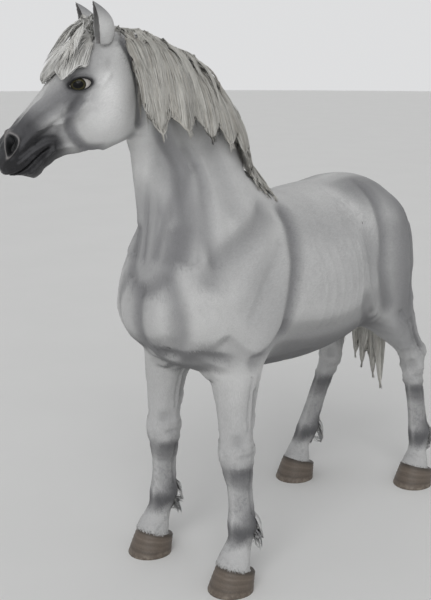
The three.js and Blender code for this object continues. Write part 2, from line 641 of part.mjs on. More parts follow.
const maneSide = (share) => {
  const turn = HEAD_TURN * (1 - share);
  return vec(Math.cos(turn), -Math.sin(turn), 0);
};
const manePaths = Array.from({ length: MANE_COLUMNS + 1 }, (_, c) => {
  const share = c / MANE_COLUMNS;
  const left = maneSide(share);
  const start = CREST.getPoint(share).addScaledVector(left, -MANE_ROOT);
  const length = THREE.MathUtils.lerp(490, 130, Math.pow(share, 0.95)) * lockEdge(share, MANE_LOCKS, 0.3);
  return hang(start, left, length, 4, 0.55);
});
const maneSheet = hairSheet(manePaths, (_, down) => 24 - 17 * down * down);
addNode("mane", clearOfFlesh(maneSheet), materials.hair);

const FORELOCK_COLUMNS = 8;
const forelockPaths = Array.from({ length: FORELOCK_COLUMNS + 1 }, (_, c) => {
  const across = (2 * c) / FORELOCK_COLUMNS - 1;
  const start = onHead(26, 40, across * 30);
  const heading = headAlong.clone().addScaledVector(headLeft, across * 0.75);
  const length = (262 - 35 * across * across - 75 * Math.max(across, 0) ** 2) * lockEdge(c / FORELOCK_COLUMNS + 0.125, 4, 0.22);
  return hang(start, heading, length, 5, 0.12);
});
const forelockLoft = (across, down) => 14 + 24 * Math.sin(Math.PI * across) * Math.sin(Math.PI * (0.15 + 0.75 * down));
const forelock = clearOfFlesh(hairSheet(forelockPaths, forelockLoft)).subtract(earSpace(1)).subtract(earSpace(-1));
addNode("forelock", forelock, materials.hair);

/** A lock that follows `path`: half widths across and deep at each share of it, drawn out to a point. */
function tailLock(path, wide, deep) {
  const rows = 9;
  const sides = 8;
  const curve = new THREE.CatmullRomCurve3(path);
  return loft(Array.from({ length: rows }, (_, row) => {
    const share = row / (rows - 1);
    const taper = Math.max(Math.sqrt(Math.sin(Math.PI * Math.min(0.12 + 0.88 * share, 0.995))), 0.02);
    const middle = curve.getPoint(share);
    return Array.from({ length: sides }, (_, i) => {
      const angle = (2 * Math.PI * i) / sides;
      return middle.clone().add(vec(Math.cos(angle) * wide * taper, Math.sin(angle) * deep * taper, 0));
    });
  }));
}

const TAIL_TIPS = [ // x, y and z of each lock's point
  [-205, 780, 630], [-148, 800, 545], [-95, 778, 515], [-45, 805, 465], [14, 780, 430], [-75, 760, 610],
];
const tailLocks = TAIL_TIPS.map(([x, y, z]) => tailLock([
  vec(0, 640, 1392), vec(x * 0.05, 712, 1362), vec(x * 0.15 - 4, 762, 1260),
  vec(x * 0.36 - 14, 772, 1060), vec(x * 0.66 - 14, 772, 840), vec(x, y, z),
], 64, 46));
const tail = tailLocks.reduce((whole, lock) => whole.add(lock));
addNode("tail", clearOfFlesh(tail), materials.hair);

// Origin in the middle of the horse's box, on the ground.
const bounds = new THREE.Box3().setFromObject(horse);
const middle = bounds.getCenter(new THREE.Vector3());
horse.position.set(-middle.x, -middle.y, -bounds.min.z);

export default horse;
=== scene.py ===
"""A life-size grey draught-type horse that stands still: skin, coat, mane, forelock, tail, eyes and hooves.

Metres, +Z up. The trunk faces -Y and the horse's left side is on +X.
"""

from __future__ import annotations

import json
import logging
import math
from collections.abc import Iterator, Sequence
from contextlib import contextmanager
from dataclasses import dataclass, field
from enum import Enum

import bpy
import numpy as np
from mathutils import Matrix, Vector
from mathutils.bvhtree import BVHTree
from mathutils.kdtree import KDTree

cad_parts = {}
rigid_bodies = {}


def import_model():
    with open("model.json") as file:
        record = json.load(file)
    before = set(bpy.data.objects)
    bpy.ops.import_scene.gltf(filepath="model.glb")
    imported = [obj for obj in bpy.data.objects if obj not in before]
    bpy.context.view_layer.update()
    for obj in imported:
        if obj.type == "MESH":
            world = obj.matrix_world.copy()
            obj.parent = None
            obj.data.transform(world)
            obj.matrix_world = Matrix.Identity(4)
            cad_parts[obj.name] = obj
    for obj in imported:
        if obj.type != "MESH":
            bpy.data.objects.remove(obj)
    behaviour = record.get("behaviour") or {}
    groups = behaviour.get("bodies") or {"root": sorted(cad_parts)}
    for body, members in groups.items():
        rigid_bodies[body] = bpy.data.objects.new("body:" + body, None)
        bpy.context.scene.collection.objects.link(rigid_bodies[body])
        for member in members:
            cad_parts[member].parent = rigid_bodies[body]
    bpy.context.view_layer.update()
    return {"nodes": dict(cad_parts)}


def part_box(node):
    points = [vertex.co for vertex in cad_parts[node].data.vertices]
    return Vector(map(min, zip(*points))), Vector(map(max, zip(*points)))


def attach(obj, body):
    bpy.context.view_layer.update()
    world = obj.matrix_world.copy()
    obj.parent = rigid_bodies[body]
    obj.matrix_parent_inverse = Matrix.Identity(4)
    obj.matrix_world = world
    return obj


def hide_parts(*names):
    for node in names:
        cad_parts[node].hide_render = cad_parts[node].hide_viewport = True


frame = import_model()

Array = np.ndarray
Piece = bpy.types.Object
Finish = bpy.types.Material
Socket = bpy.types.NodeSocket
Random = np.random.Generator
Point = tuple[float, float]
Place = tuple[float, float, float]
Colour = tuple[float, float, float]

log = logging.getLogger("horse")

BODY = "root"
UP = np.array((0.0, 0.0, 1.0))
MM = 0.001
FACES_PER_PIECE = 190_000
BAKE_MAP = "OFBake"
BAKE_PATCH = 0.003
WEIGHT_STEPS = 12
CHART_FACES = 9000

LEGS = ("fore_left", "fore_right", "hind_left", "hind_right")
EARS = ("ear_left", "ear_right")
EYES = ("eye_left", "eye_right")
FLESH = ("trunk", "neck", "head", *(f"leg_{leg}_{part}" for leg in LEGS for part in ("upper", "lower")))

# The hooves' measures, and where the near fore hoof's middle stands: x and y from the body's origin.
HOOF_LENGTH = 0.190
HOOF_WIDTH = 0.180
HOOF_HEIGHT = 0.108
CORONET_SLOPE = 0.34
FORE_HOOF = (0.222, -0.530)


# ---- small helpers


def ease(low: float, high: float, value: Array | float) -> Array:
    """Runs smoothly from 0 at low to 1 at high.

    Args:
        low: value that gives 0.
        high: value that gives 1.
        value: one value or many.

    Returns:
        The share, of the same shape as value.
    """
    share = np.clip((np.asarray(value, float) - low) / (high - low), 0.0, 1.0)
    return share * share * (3.0 - 2.0 * share)


def table(rows: str) -> Array:
    """Reads rows of millimetres, with bars between them, as metres."""
    return np.array([row.split() for row in rows.split("|")], float) / 1000


def unit(vectors: Array) -> Array:
    """Returns the vectors at length 1."""
    return vectors / np.maximum(np.linalg.norm(vectors, axis=-1, keepdims=True), 1e-12)


def catmull(points: Array, steps: int) -> Array:
    """Draws a smooth curve through points.

    Args:
        points: rows of coordinates.
        steps: new rows for each span.

    Returns:
        The resampled rows, ends included.
    """
    points = np.asarray(points, float)
    if len(points) < 2:
        return points
    ends = np.vstack((2 * points[0] - points[1], points, 2 * points[-1] - points[-2]))
    rows = []
    for a, b, c, d in zip(ends, ends[1:], ends[2:], ends[3:]):
        for t in np.arange(steps) / steps:
            rows.append(b + 0.5 * t * (c - a + t * (2 * a - 5 * b + 4 * c - d + t * (3 * (b - c) + d - a))))
    return np.array([*rows, points[-1]])


def along_path(paths: Array, share: Array) -> Array:
    """Reads points at given shares of evenly stepped paths.

    Args:
        paths: paths of points, (count, steps, 3).
        share: shares from 0 to 1, (count, rings).

    Returns:
        Points, (count, rings, 3).
    """
    last = paths.shape[1] - 1
    place = np.clip(share, 0.0, 1.0) * last
    low = np.minimum(place.astype(int), last - 1)
    part = (place - low)[..., None]
    row = np.arange(len(paths))[:, None]
    return paths[row, low] * (1 - part) + paths[row, low + 1] * part


def sprinkle(points: Array, faces: Array, weights: Array, count: int, rng: Random) -> tuple[Array, Array]:
    """Chooses places at random on triangles.

    Args:
        points: corner positions.
        faces: corner numbers of the triangles.
        weights: relative density on each triangle.
        count: how many places.
        rng: random numbers.

    Returns:
        The triangle of each place, and its position.
    """
    a, b, c = points[faces].transpose(1, 0, 2)
    area = np.linalg.norm(np.cross(b - a, c - a), axis=1) * weights
    index = np.sort(np.searchsorted(np.cumsum(area) / area.sum(), rng.random(count)))
    index = np.minimum(index, len(faces) - 1)
    s, t = rng.random((2, count))
    over = s + t > 1
    s[over], t[over] = 1 - s[over], 1 - t[over]
    return index, a[index] + (b - a)[index] * s[:, None] + (c - a)[index] * t[:, None]


# ---- mesh helpers


def select_only(piece: Piece | None) -> None:
    """Selects one object and makes it active.

    Args:
        piece: the object, or None to select nothing.
    """
    bpy.ops.object.select_all(action="DESELECT")
    if piece:
        piece.select_set(True)
        bpy.context.view_layer.objects.active = piece


@contextmanager
def editing(piece: Piece, chosen: Array | None = None) -> Iterator[None]:
    """Opens a piece for editing.

    Args:
        piece: object to edit.
        chosen: whether each vertex is selected; all are when this is left out.

    Yields:
        Nothing, while the piece is open.
    """
    select_only(piece)
    bpy.ops.object.mode_set(mode="EDIT")
    bpy.ops.mesh.select_mode(type="VERT")
    bpy.ops.mesh.select_all(action="SELECT" if chosen is None else "DESELECT")
    if chosen is not None:
        bpy.ops.object.mode_set(mode="OBJECT")
        piece.data.vertices.foreach_set("select", chosen)
        bpy.ops.object.mode_set(mode="EDIT")
    yield
    bpy.ops.object.mode_set(mode="OBJECT")


def read(items: bpy.types.bpy_prop_collection, name: str, width: int = 3, kind: type = np.float32) -> Array:
    """Reads a property of all items.

    Args:
        items: vertices, corners or the like.
        name: name of the property.
        width: how many numbers one item has.
        kind: type of the numbers.

    Returns:
        The numbers, (count, width).
    """
    flat = np.empty(len(items) * width, kind)
    items.foreach_get(name, flat)
    return flat.reshape(-1, width)


def positions(piece: Piece) -> Array:
    """Returns the piece's vertex positions, (count, 3)."""
    return read(piece.data.vertices, "co").astype(float)


def normals(piece: Piece) -> Array:
    """Returns the piece's vertex normals, (count, 3)."""
    return read(piece.data.vertex_normals, "vector").astype(float)


def triangles(piece: Piece) -> Array:
    """Returns the piece's triangles as vertex numbers, (count, 3)."""
    piece.data.calc_loop_triangles()
    return read(piece.data.loop_triangles, "vertices", 3, np.int32)


def place(piece: Piece, points: Array) -> None:
    """Moves the piece's vertices to points."""
    piece.data.vertices.foreach_set("co", points.astype(np.float32).ravel())
    piece.data.update()


def new_object(name: str, data: bpy.types.ID | None) -> Piece:
    """Adds an object to the scene.

    Args:
        name: its name.
        data: what it shows.

    Returns:
        The object.
    """
    piece = bpy.data.objects.new(name, data)
    bpy.context.collection.objects.link(piece)
    return piece


def primitive(name: str, shape: str, **settings: object) -> Piece:
    """Adds a primitive.

    Args:
        name: name of the piece.
        shape: kind of primitive.
        settings: its measures.

    Returns:
        The new piece, selected.
    """
    select_only(None)
    getattr(bpy.ops.mesh, f"primitive_{shape}_add")(**settings)
    piece = bpy.context.active_object
    piece.name = piece.data.name = name
    return piece


def node_copy(node: str, name: str) -> Piece:
    """Copies a CAD node's mesh and merges its corners.

    Args:
        node: name of the node.
        name: name of the copy.

    Returns:
        The copy.
    """
    piece = new_object(name, frame["nodes"][node].data.copy())
    piece.data.materials.clear()
    with editing(piece):
        bpy.ops.mesh.remove_doubles(threshold=1e-5)
    return piece


def modify(piece: Piece, kind: str, **settings: object) -> None:
    """Adds a modifier to the piece and applies it.

    Args:
        piece: object to change.
        kind: modifier type.
        settings: the modifier's properties.
    """
    select_only(piece)
    bpy.ops.object.modifier_add(type=kind)
    modifier = piece.modifiers[-1]
    for name, value in settings.items():
        setattr(modifier, name, value)
    bpy.ops.object.modifier_apply(modifier=modifier.name)


def weight_group(piece: Piece, name: str, weights: Array) -> str:
    """Makes a vertex group in a few steps of weight.

    Args:
        piece: object to mark.
        name: name of the group.
        weights: one weight from 0 to 1 for each vertex.

    Returns:
        The group's name.
    """
    group = piece.vertex_groups.new(name=name)
    step = np.rint(weights * WEIGHT_STEPS).astype(int)
    for level in range(1, WEIGHT_STEPS + 1):
        group.add(np.flatnonzero(step == level).tolist(), level / WEIGHT_STEPS, "REPLACE")
    return group.name


def mesh_piece(name: str, points: Array, faces: Array) -> Piece:
    """Makes an object from points and faces.

    Args:
        name: name of the piece.
        points: vertex positions.
        faces: vertex numbers of each face.

    Returns:
        The new object, smooth shaded.
    """
    mesh = bpy.data.meshes.new(name)
    mesh.from_pydata(points.tolist(), [], faces.tolist(), shade_flat=False)
    return new_object(name, mesh)


def paint(piece: Piece, name: str, values: Array) -> None:
    """Stores a colour of four values for each vertex under a name."""
    layer = piece.data.color_attributes.new(name, "FLOAT_COLOR", "POINT")
    layer.data.foreach_set("color", values.astype(np.float32).ravel())


def map_spots(piece: Piece, spots: Array, name: str = BAKE_MAP) -> None:
    """Gives the piece a map, the bake map unless named, from the place of each vertex on it, (count, 2)."""
    corner = read(piece.data.loops, "vertex_index", 1, np.int32)[:, 0]
    piece.data.uv_layers.new(name=name).data.foreach_set("uv", spots[corner].astype(np.float32).ravel())


def finish_piece(piece: Piece, material: Finish, slot: str, *nodes: str) -> None:
    """Dresses a piece and hands it to the frame.

    Args:
        piece: finished object.
        material: its material.
        slot: not used.
        nodes: CAD nodes that it stands for.
    """
    piece.data.materials.clear()
    piece.data.materials.append(material)
    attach(piece, BODY)
    if nodes:
        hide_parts(*nodes)
    log.info("%s: %d triangles", piece.name, len(triangles(piece)))


# ---- the horse's own directions


def horse_origin() -> Array:
    """Returns the point on the ground from which the body's measures count, found from the near fore hoof."""
    low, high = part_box("hoof_fore_left")
    return np.array(((low[0] + high[0]) / 2 - FORE_HOOF[0], low[1] - FORE_HOOF[1] + HOOF_LENGTH * 0.53, 0.0))


ORIGIN = horse_origin()


@dataclass(frozen=True)
class HeadFrame:
    """Directions of the head: along the face to the muzzle, out of the face, and to its left, from the poll."""

    turn: float = math.radians(20)
    drop: float = math.radians(42)
    poll: Place = (-0.142, -0.776, 2.078)

    def axes(self) -> Array:
        """Finds the head's directions.

        Returns:
            Rows: along, out, left.
        """
        forward = np.array((-math.sin(self.turn), -math.cos(self.turn), 0.0))
        left = np.array((math.cos(self.turn), -math.sin(self.turn), 0.0))
        along = forward * math.cos(self.drop) - UP * math.sin(self.drop)
        out = forward * math.sin(self.drop) + UP * math.cos(self.drop)
        return np.array((along, out, left))

    def measure(self, points: Array) -> Array:
        """Returns along, out and left of points."""
        return (points - ORIGIN - np.array(self.poll)) @ self.axes().T

    def point(self, along: float, out: float, left: float) -> Array:
        """Returns the point at along, out and left."""
        return ORIGIN + np.array(self.poll) + np.array((along, out, left)) @ self.axes()


HEAD = HeadFrame()


@dataclass(frozen=True)
class LegLine:
    """Middle line of one leg, with how deep the leg is behind it."""

    side: int
    hind: bool
    rows: Array  # z, x, y and the depth behind

    def centre(self, z: Array) -> tuple[Array, Array, Array]:
        """Returns x, y and the depth behind at heights z."""
        z_rows, x_rows, y_rows, rear = self.rows[::-1].T
        return self.side * np.interp(z, z_rows, x_rows), np.interp(z, z_rows, y_rows), np.interp(z, z_rows, rear)

    @property
    def hoof(self) -> Array:
        """Returns the middle of the sole."""
        _, x, y, _ = self.rows[-1]
        return ORIGIN + np.array((self.side * x, y, 0.0))


def fore_leg(side: int) -> LegLine:
    """Traces a fore leg.

    Args:
        side: 1 for the left, -1 for the right.

    Returns:
        The line from the shoulder to the hoof.
    """
    rows = table(
        "1010 164 -465 140 | 895 174 -457 114 | 790 180 -462 88 | 690 187 -468 70 | 597 191 -474 61 | 532 194 -478 65 |"
        "467 197 -475 60 | 395 203 -472 55 | 310 209 -468 56 | 245 213 -466 61 | 178 218 -480 52 | 110 220 -512 62 |"
        "50 222 -530 66"
    )
    return LegLine(side, False, rows)


def hind_leg(side: int, hock: float, fetlock: float, hoof: float) -> LegLine:
    """Returns the line of a hind leg.

    Args:
        side: 1 for the left, -1 for the right.
        hock: y of the hock.
        fetlock: y of the fetlock.
        hoof: y of the sole's middle.

    Returns:
        The line from the haunch to the hoof.
    """
    hip, cannon = 0.470, fetlock - hock - 0.008
    rows = table(
        "1070 162 0 222 | 960 176 0 185 | 860 182 0 138 | 770 185 0 92 | 693 187 0 68 | 628 191 0 76 | 558 194 0 59 |"
        "440 198 0 48 | 300 207 0 50 | 228 214 0 57 | 165 228 0 49 | 105 230 0 59 | 50 231 0 64"
    )
    rows[:5, 2] = hip + np.array((0.06, 0.14, 0.38, 0.64, 0.86)) * (hock - hip)
    rows[5:9, 2] = hock, hock + 0.006, hock + 0.008 + 0.45 * cannon, hock + 0.008 + 0.85 * cannon
    rows[9:, 2] = fetlock, fetlock + 0.45 * (hoof - fetlock), hoof + 0.016, hoof
    return LegLine(side, True, rows)


LEG_LINES = {
    "fore_left": fore_leg(1),
    "fore_right": fore_leg(-1),
    "hind_left": hind_leg(1, 0.758, 0.820, 0.761),
    "hind_right": hind_leg(-1, 0.645, 0.506, 0.446),
}


def gap_to_line(u: Array, v: Array, line: Array) -> Array:
    """Measures how far points of a flat view lie from a line in it.

    Args:
        u: first coordinate of the points.
        v: second coordinate.
        line: points of the line, (count, 2).

    Returns:
        The square of each least distance.
    """
    least = np.full(len(u), np.inf)
    for (a, b), (c, d) in zip(line, line[1:] if len(line) > 1 else line):
        run = max((c - a) ** 2 + (d - b) ** 2, 1e-12)
        share = np.clip(((u - a) * (c - a) + (v - b) * (d - b)) / run, 0, 1)
        least = np.minimum(least, (u - a - share * (c - a)) ** 2 + (v - b - share * (d - b)) ** 2)
    return least


class View(Enum):
    """The flat views in which relief and markings are drawn."""

    SIDE = "y and z on both flanks, the near hind leg's stance for both"
    FRONT = "distance from the middle and z, seen from the front"
    BACK = "distance from the middle and z, seen from behind"
    LEG = "y from the leg's line and z, on its inner and outer side"
    SHIN = "x from the leg's line and z, seen from the front"
    FACE_SIDE = "along and out on both sides of the head"
    FACE_TOP = "along and distance from the middle, seen from out of the face"
    CHIN = "along and distance from the middle, seen from under the jaw"


class Anatomy:
    """Where each point of the skin lies on the horse."""

    def __init__(self, points: Array, facing: Array) -> None:
        """Measures points.

        Args:
            points: positions on the skin.
            facing: outward unit normals there.
        """
        self.p = points - ORIGIN
        self.n = facing
        x, y, z = self.p.T
        self.head = HEAD.measure(points)
        along, out, left = self.head.T
        edge = np.interp(out, (-0.325, -0.225, -0.130, 0.010, 0.090), (0.084, 0.046, 0.008, -0.062, -0.062))
        above_neck = ease(1.45, 1.60, z)
        self.in_head = ease(-0.025, 0.025, along - edge) * above_neck * ease(-0.62, -0.68, y)
        rise = (y + 0.47) * -0.62 + (z - 1.40) * 0.78
        self.in_neck = ease(-0.06, 0.10, rise) * (1 - self.in_head) * ease(-0.1, -0.2, y)
        shares, measures = [], []
        for line in LEG_LINES.values():
            cx, cy, rear = line.centre(z)
            side = ease(0.0, 0.03, x * line.side)
            reach = (y > 0.2) if line.hind else (y < -0.15)
            low = ease(0.98, 0.88, z) if line.hind else ease(0.88, 0.80, z)
            shares.append(side * reach * low)
            measures.append(shares[-1] * np.array((x - cx, y - cy, rear)))
        self.in_leg = sum(shares)
        self.leg_x, self.leg_y, self.leg_rear = sum(measures) / np.maximum(self.in_leg, 1e-9)
        _, left_y, _ = LEG_LINES["hind_left"].centre(z)
        _, right_y, _ = LEG_LINES["hind_right"].centre(z)
        stance = np.where(x < 0, left_y - right_y, 0.0) * ease(0.12, 0.40, y) * ease(1.30, 1.05, z)
        nx, ny, nz = facing.T
        n_along, n_out, n_left = (facing @ HEAD.axes().T).T
        outer = np.where(z > 1.0, np.abs(nx), nx * np.sign(x))
        body = 1 - self.in_head
        leg = self.in_leg
        self.views = {
            View.SIDE: (y + stance, z, body * ease(0.05, 0.45, outer)),
            View.FRONT: (np.abs(x), z, body * ease(0.0, 0.45, -ny) * (y < -0.3) * ease(0.84, 0.90, z)),
            View.BACK: (np.abs(x), z, body * ease(0.0, 0.45, ny) * (y > 0.45)),
            View.LEG: (self.leg_y, z, leg * ease(0.05, 0.5, np.abs(nx))),
            View.SHIN: (self.leg_x, z, leg * ease(0.0, 0.5, -ny)),
            View.FACE_SIDE: (along, out, self.in_head * ease(0.05, 0.4, np.abs(n_left))),
            View.FACE_TOP: (along, np.abs(left), self.in_head * ease(0.0, 0.4, n_out)),
            View.CHIN: (along, np.abs(left), self.in_head * ease(0.0, 0.4, -n_out)),
        }

    def reach(self, view: View, path: Sequence[Point], width: float) -> tuple[Array, Array]:
        """Finds what lies near a line drawn in a view.

        Args:
            view: view that the line is drawn in.
            path: points of the line.
            width: distance at which its effect ends.

        Returns:
            Vertex numbers near the line, and its effect there from 0 to 1.
        """
        u, v, weight = self.views[view]
        line = catmull(np.array(path), 4)
        low, high = line.min(0) - width, line.max(0) + width
        near = np.flatnonzero((weight > 0) & (u > low[0]) & (u < high[0]) & (v > low[1]) & (v < high[1]))
        least = gap_to_line(u[near], v[near], line)
        left_over = np.clip(1 - least / width**2, 0, 1)
        return near, left_over**2 * weight[near]


# ---- relief and markings


@dataclass(frozen=True)
class Stroke:
    """One ridge or hollow of the body, and the painted shade, a grey on the coat, that goes with it."""

    view: View
    path: tuple[Point, ...]
    width: float  # half width in metres
    height: float  # millimetres, negative for a hollow
    # shade: the share of painted shade, as grey, at the stroke's middle.
    shade: float = 0.0  # share of grey at its middle


def read_rows(rows: str) -> Iterator[tuple[list[str], tuple[Point, ...]]]:
    """Reads rows of values and, behind a bar, the points of a path in millimetres.

    Args:
        rows: the rows.

    Yields:
        The values and the path, in metres, of each row.
    """
    for row in rows.split("\n"):
        values, _, path = row.partition("|")
        if path:
            points = (point.split(",") for point in path.split())
            yield values.split(), tuple((float(u) * MM, float(v) * MM) for u, v in points)


# One row for each stroke: half width and height in mm, painted shade in per cent (the grey that the coat takes along
# it) | points of its path in mm.
STROKE_ROWS = {
    View.SIDE: """
48 -10 42 | -300,1420 -400,1375 -500,1335 -580,1295 -640,1230
50 6 0 | -280,1400 -420,1280 -560,1150
40 -11 62 | -165,1400 -180,1330 -210,1250 -265,1120 -290,1000
35 -8 40 | -290,1000 -360,950 -470,905
100 10 0 | -270,1220 -360,1060 -420,960
32 -5 12 | -270,1300 -400,1200 -500,1080
80 9 0 | -660,1070 -650,1040
38 -7 16 | -600,1000 -520,930 -440,900
30 -11 52 | -645,1760 -603,1636 -612,1540 -642,1424 -690,1305
26 6 0 | -600,1760 -565,1620 -575,1500 -600,1400 -650,1290
26 -6 36 | -560,1660 -545,1550 -590,1430 -612,1360 -612,1290
40 6 0 | -520,1620 -530,1500 -550,1400
55 -6 22 | -470,1660 -450,1550 -460,1460
20 4 0 | -655,1620 -672,1520 -690,1400
20 -4 34 | -680,1600 -700,1480 -715,1360 -725,1290
70 5 0 | -580,1880 -460,1760 -360,1640
30 4 0 | -700,1720 -690,1500 -700,1380
50 -5 6 | -300,1420 -160,1420
60 4 0 | -150,1430 100,1400 280,1420
45 -3 5 | -120,1340 100,1325 220,1330
12 1 0 | -330,865 -220,852 -120,862 0,845 120,860 220,880
45 -3 10 | -300,980 -100,950 120,955 250,1000
65 -8 14 | 235,1270 265,1190 275,1120
55 8 0 | 260,1375 275,1360
30 6 0 | 335,930 280,990 240,1070 220,1140
35 -5 30 | 310,870 250,930 200,1030
36 -9 55 | 370,1440 365,1380 350,1280 335,1140 360,1040 400,950
45 6 0 | 290,1100 300,1000 330,930
90 8 0 | 460,1300 500,1120 500,980
30 -7 20 | 600,1340 615,1200 600,1050 580,940 600,840
30 5 0 | 665,1250 665,1080 640,940
45 7 0 | 335,905 350,885
45 6 0 | 420,880 540,770 630,700
20 -6 14 | 500,900 600,800 680,710
18 4 0 | 660,860 740,750 785,690
20 -7 16 | 620,840 700,745 755,675
80 5 0 | 320,1400 440,1400 540,1340
""",
    View.BACK: """
36 -26 40 | 0,1300 0,1150 0,980 0,900
45 8 0 | 85,1220 95,1050 110,930
22 -5 12 | 165,1200 170,1050 170,920
""",
    View.FRONT: """
28 -8 55 | 0,940 0,1050 0,1180
34 -6 50 | 0,1185 45,1200 85,1250 100,1310 90,1380
38 -7 42 | 30,950 100,925 170,940 220,930
34 -5 46 | 105,1220 145,1140 150,1050 120,960
56 4 0 | 62,1000 68,1100
26 4 0 | 0,1550 0,1420 0,1280
18 -4 30 | 45,1600 45,1450 35,1300
""",
    View.LEG: """
12 -5 12 | -10,840 -12,740 -8,640
14 -5 12 | 30,840 28,720 30,620
35 5 0 | -45,840 -45,750
18 4.5 0 | -30,575 30,575
18 4 0 | -30,498 30,498
12 -4 15 | -35,537 30,535
22 -2 50 | -40,468 30,462
22 8 0 | 52,556 55,535
26 8 0 | 60,668 55,640
20 -9 16 | 18,780 26,720 30,680
26 5 0 | -12,655 -10,645
20 -4 25 | -48,610 -46,590
24 3 0 | -4,590 0,560
10 -6 16 | 11,470 13,380 18,290
13 2.5 0 | 36,460 40,310
30 4 0 | 0,245 30,238
20 -3 8 | 8,192 12,165
""",
    View.SHIN: """
18 3 0 | -18,525 -18,545
18 3 0 | 18,525 18,545
30 3 0 | 0,255 0,235
""",
    View.FACE_SIDE: """
14 6 0 | 245,-105 300,-108 365,-98
21 -5 22 | 250,-137 310,-137 370,-124
21 -9 72 | 262,-82 292,-92 325,-115 345,-152 350,-190 342,-228 308,-265
20 -2 50 | 308,-265 250,-302 190,-318
115 12 0 | 160,-160 210,-190
24 -11 72 | 2,-60 18,-120 50,-180 95,-240 145,-300
18 -4 15 | 270,-58 360,-47 450,-40
18 3 0 | 280,-15 400,-8 490,-20
18 4.5 0 | 330,-75 420,-70 490,-65
20 -4 22 | 360,-97 440,-92
10.5 5 0 | 545,-98 500,-103 450,-113 424,-122 414,-136 428,-152
10.5 4.4 0 | 540,-148 500,-151 455,-153 428,-150
12 -4.5 55 | 455,-96 420,-106 398,-125 402,-150
10 -3 20 | 530,-78 490,-84 455,-94
6.5 2 0 | 345,-245 364,-200 362,-150 350,-110 335,-75
5.5 2 0 | 335,-110 380,-85 430,-62
5.5 1.6 0 | 330,-75 300,-55 270,-60
14 3 0 | 360,-205 390,-175 430,-155
12 2 0 | 500,-140 545,-138 575,-130
30 5 0 | 515,-165 525,-165
15 -4 20 | 475,-165 470,-150
30 0 55 | 270,-45 350,-24 460,-14
20 -2 35 | 470,-16 400,-36 335,-62 325,-100
5.5 -1.8 20 | 196,-98 222,-108 252,-94
28 5 0 | 115,-55 118,-58
30 4 0 | 60,-30 100,-50
14 4 0 | 125,-95 200,-100 240,-103
""",
    View.FACE_TOP: """
26 -9 24 | 165,70 180,72
14 3.5 0 | 60,18 140,42 200,66
11 -2 0 | 300,0 450,0
20 -4 0 | 530,0 570,0
""",
    View.CHIN: """
28 -14 30 | 240,0 330,0 440,0
""",
}
RIBS = range(7)


def all_strokes() -> Iterator[Stroke]:
    """Goes through the strokes of all views, and the ribs.

    Yields:
        Each stroke.
    """
    for view, rows in STROKE_ROWS.items():
        for (width, height, shade), path in read_rows(rows):
            yield Stroke(view, path, float(width) * MM, float(height), float(shade) / 100)
    for rib in RIBS:
        middle = -0.09 + 0.05 * rib
        yield Stroke(View.SIDE, ((middle - 0.01, 1.28), (middle + 0.015, 1.12), (middle, 0.96)), 0.015, 1.6)


STROKES = tuple(all_strokes())


@dataclass(frozen=True)
class Patch:
    """A soft patch of colour on the coat or the bare skin; most are markings, some are painted shade, and one is a
    painted highlight.
    """

    view: View
    path: tuple[Point, ...]
    width: float
    shade: Shade
    strength: float


class Shade(Enum):
    """The greys of coat and bare skin; ASH, SLATE, SMOKE, BLACK and INNER_EAR also serve as painted shade, and CHALK as
    a painted highlight on the cheek.
    """

    BLACK = (0.007, 0.007, 0.008)
    CHARCOAL = (0.016, 0.016, 0.018)
    SLATE = (0.078, 0.078, 0.083)
    ASH = (0.175, 0.175, 0.182)
    SMOKE = (0.33, 0.33, 0.335)
    SNOW = (0.57, 0.57, 0.565)
    CHALK = (0.74, 0.74, 0.735)
    PALE_SKIN = (0.45, 0.42, 0.41)
    INNER_EAR = (0.19, 0.18, 0.18)


def blend(colours: Array, target: Shade, share: Array | float, rows: Array | slice = slice(None)) -> None:
    """Mixes colours towards a shade.

    Args:
        colours: the colours, which change.
        target: the shade.
        share: how much of it each row takes.
        rows: rows that change.
    """
    colours[rows, :3] += (np.array(target.value) - colours[rows, :3]) * np.asarray(share)[..., None]


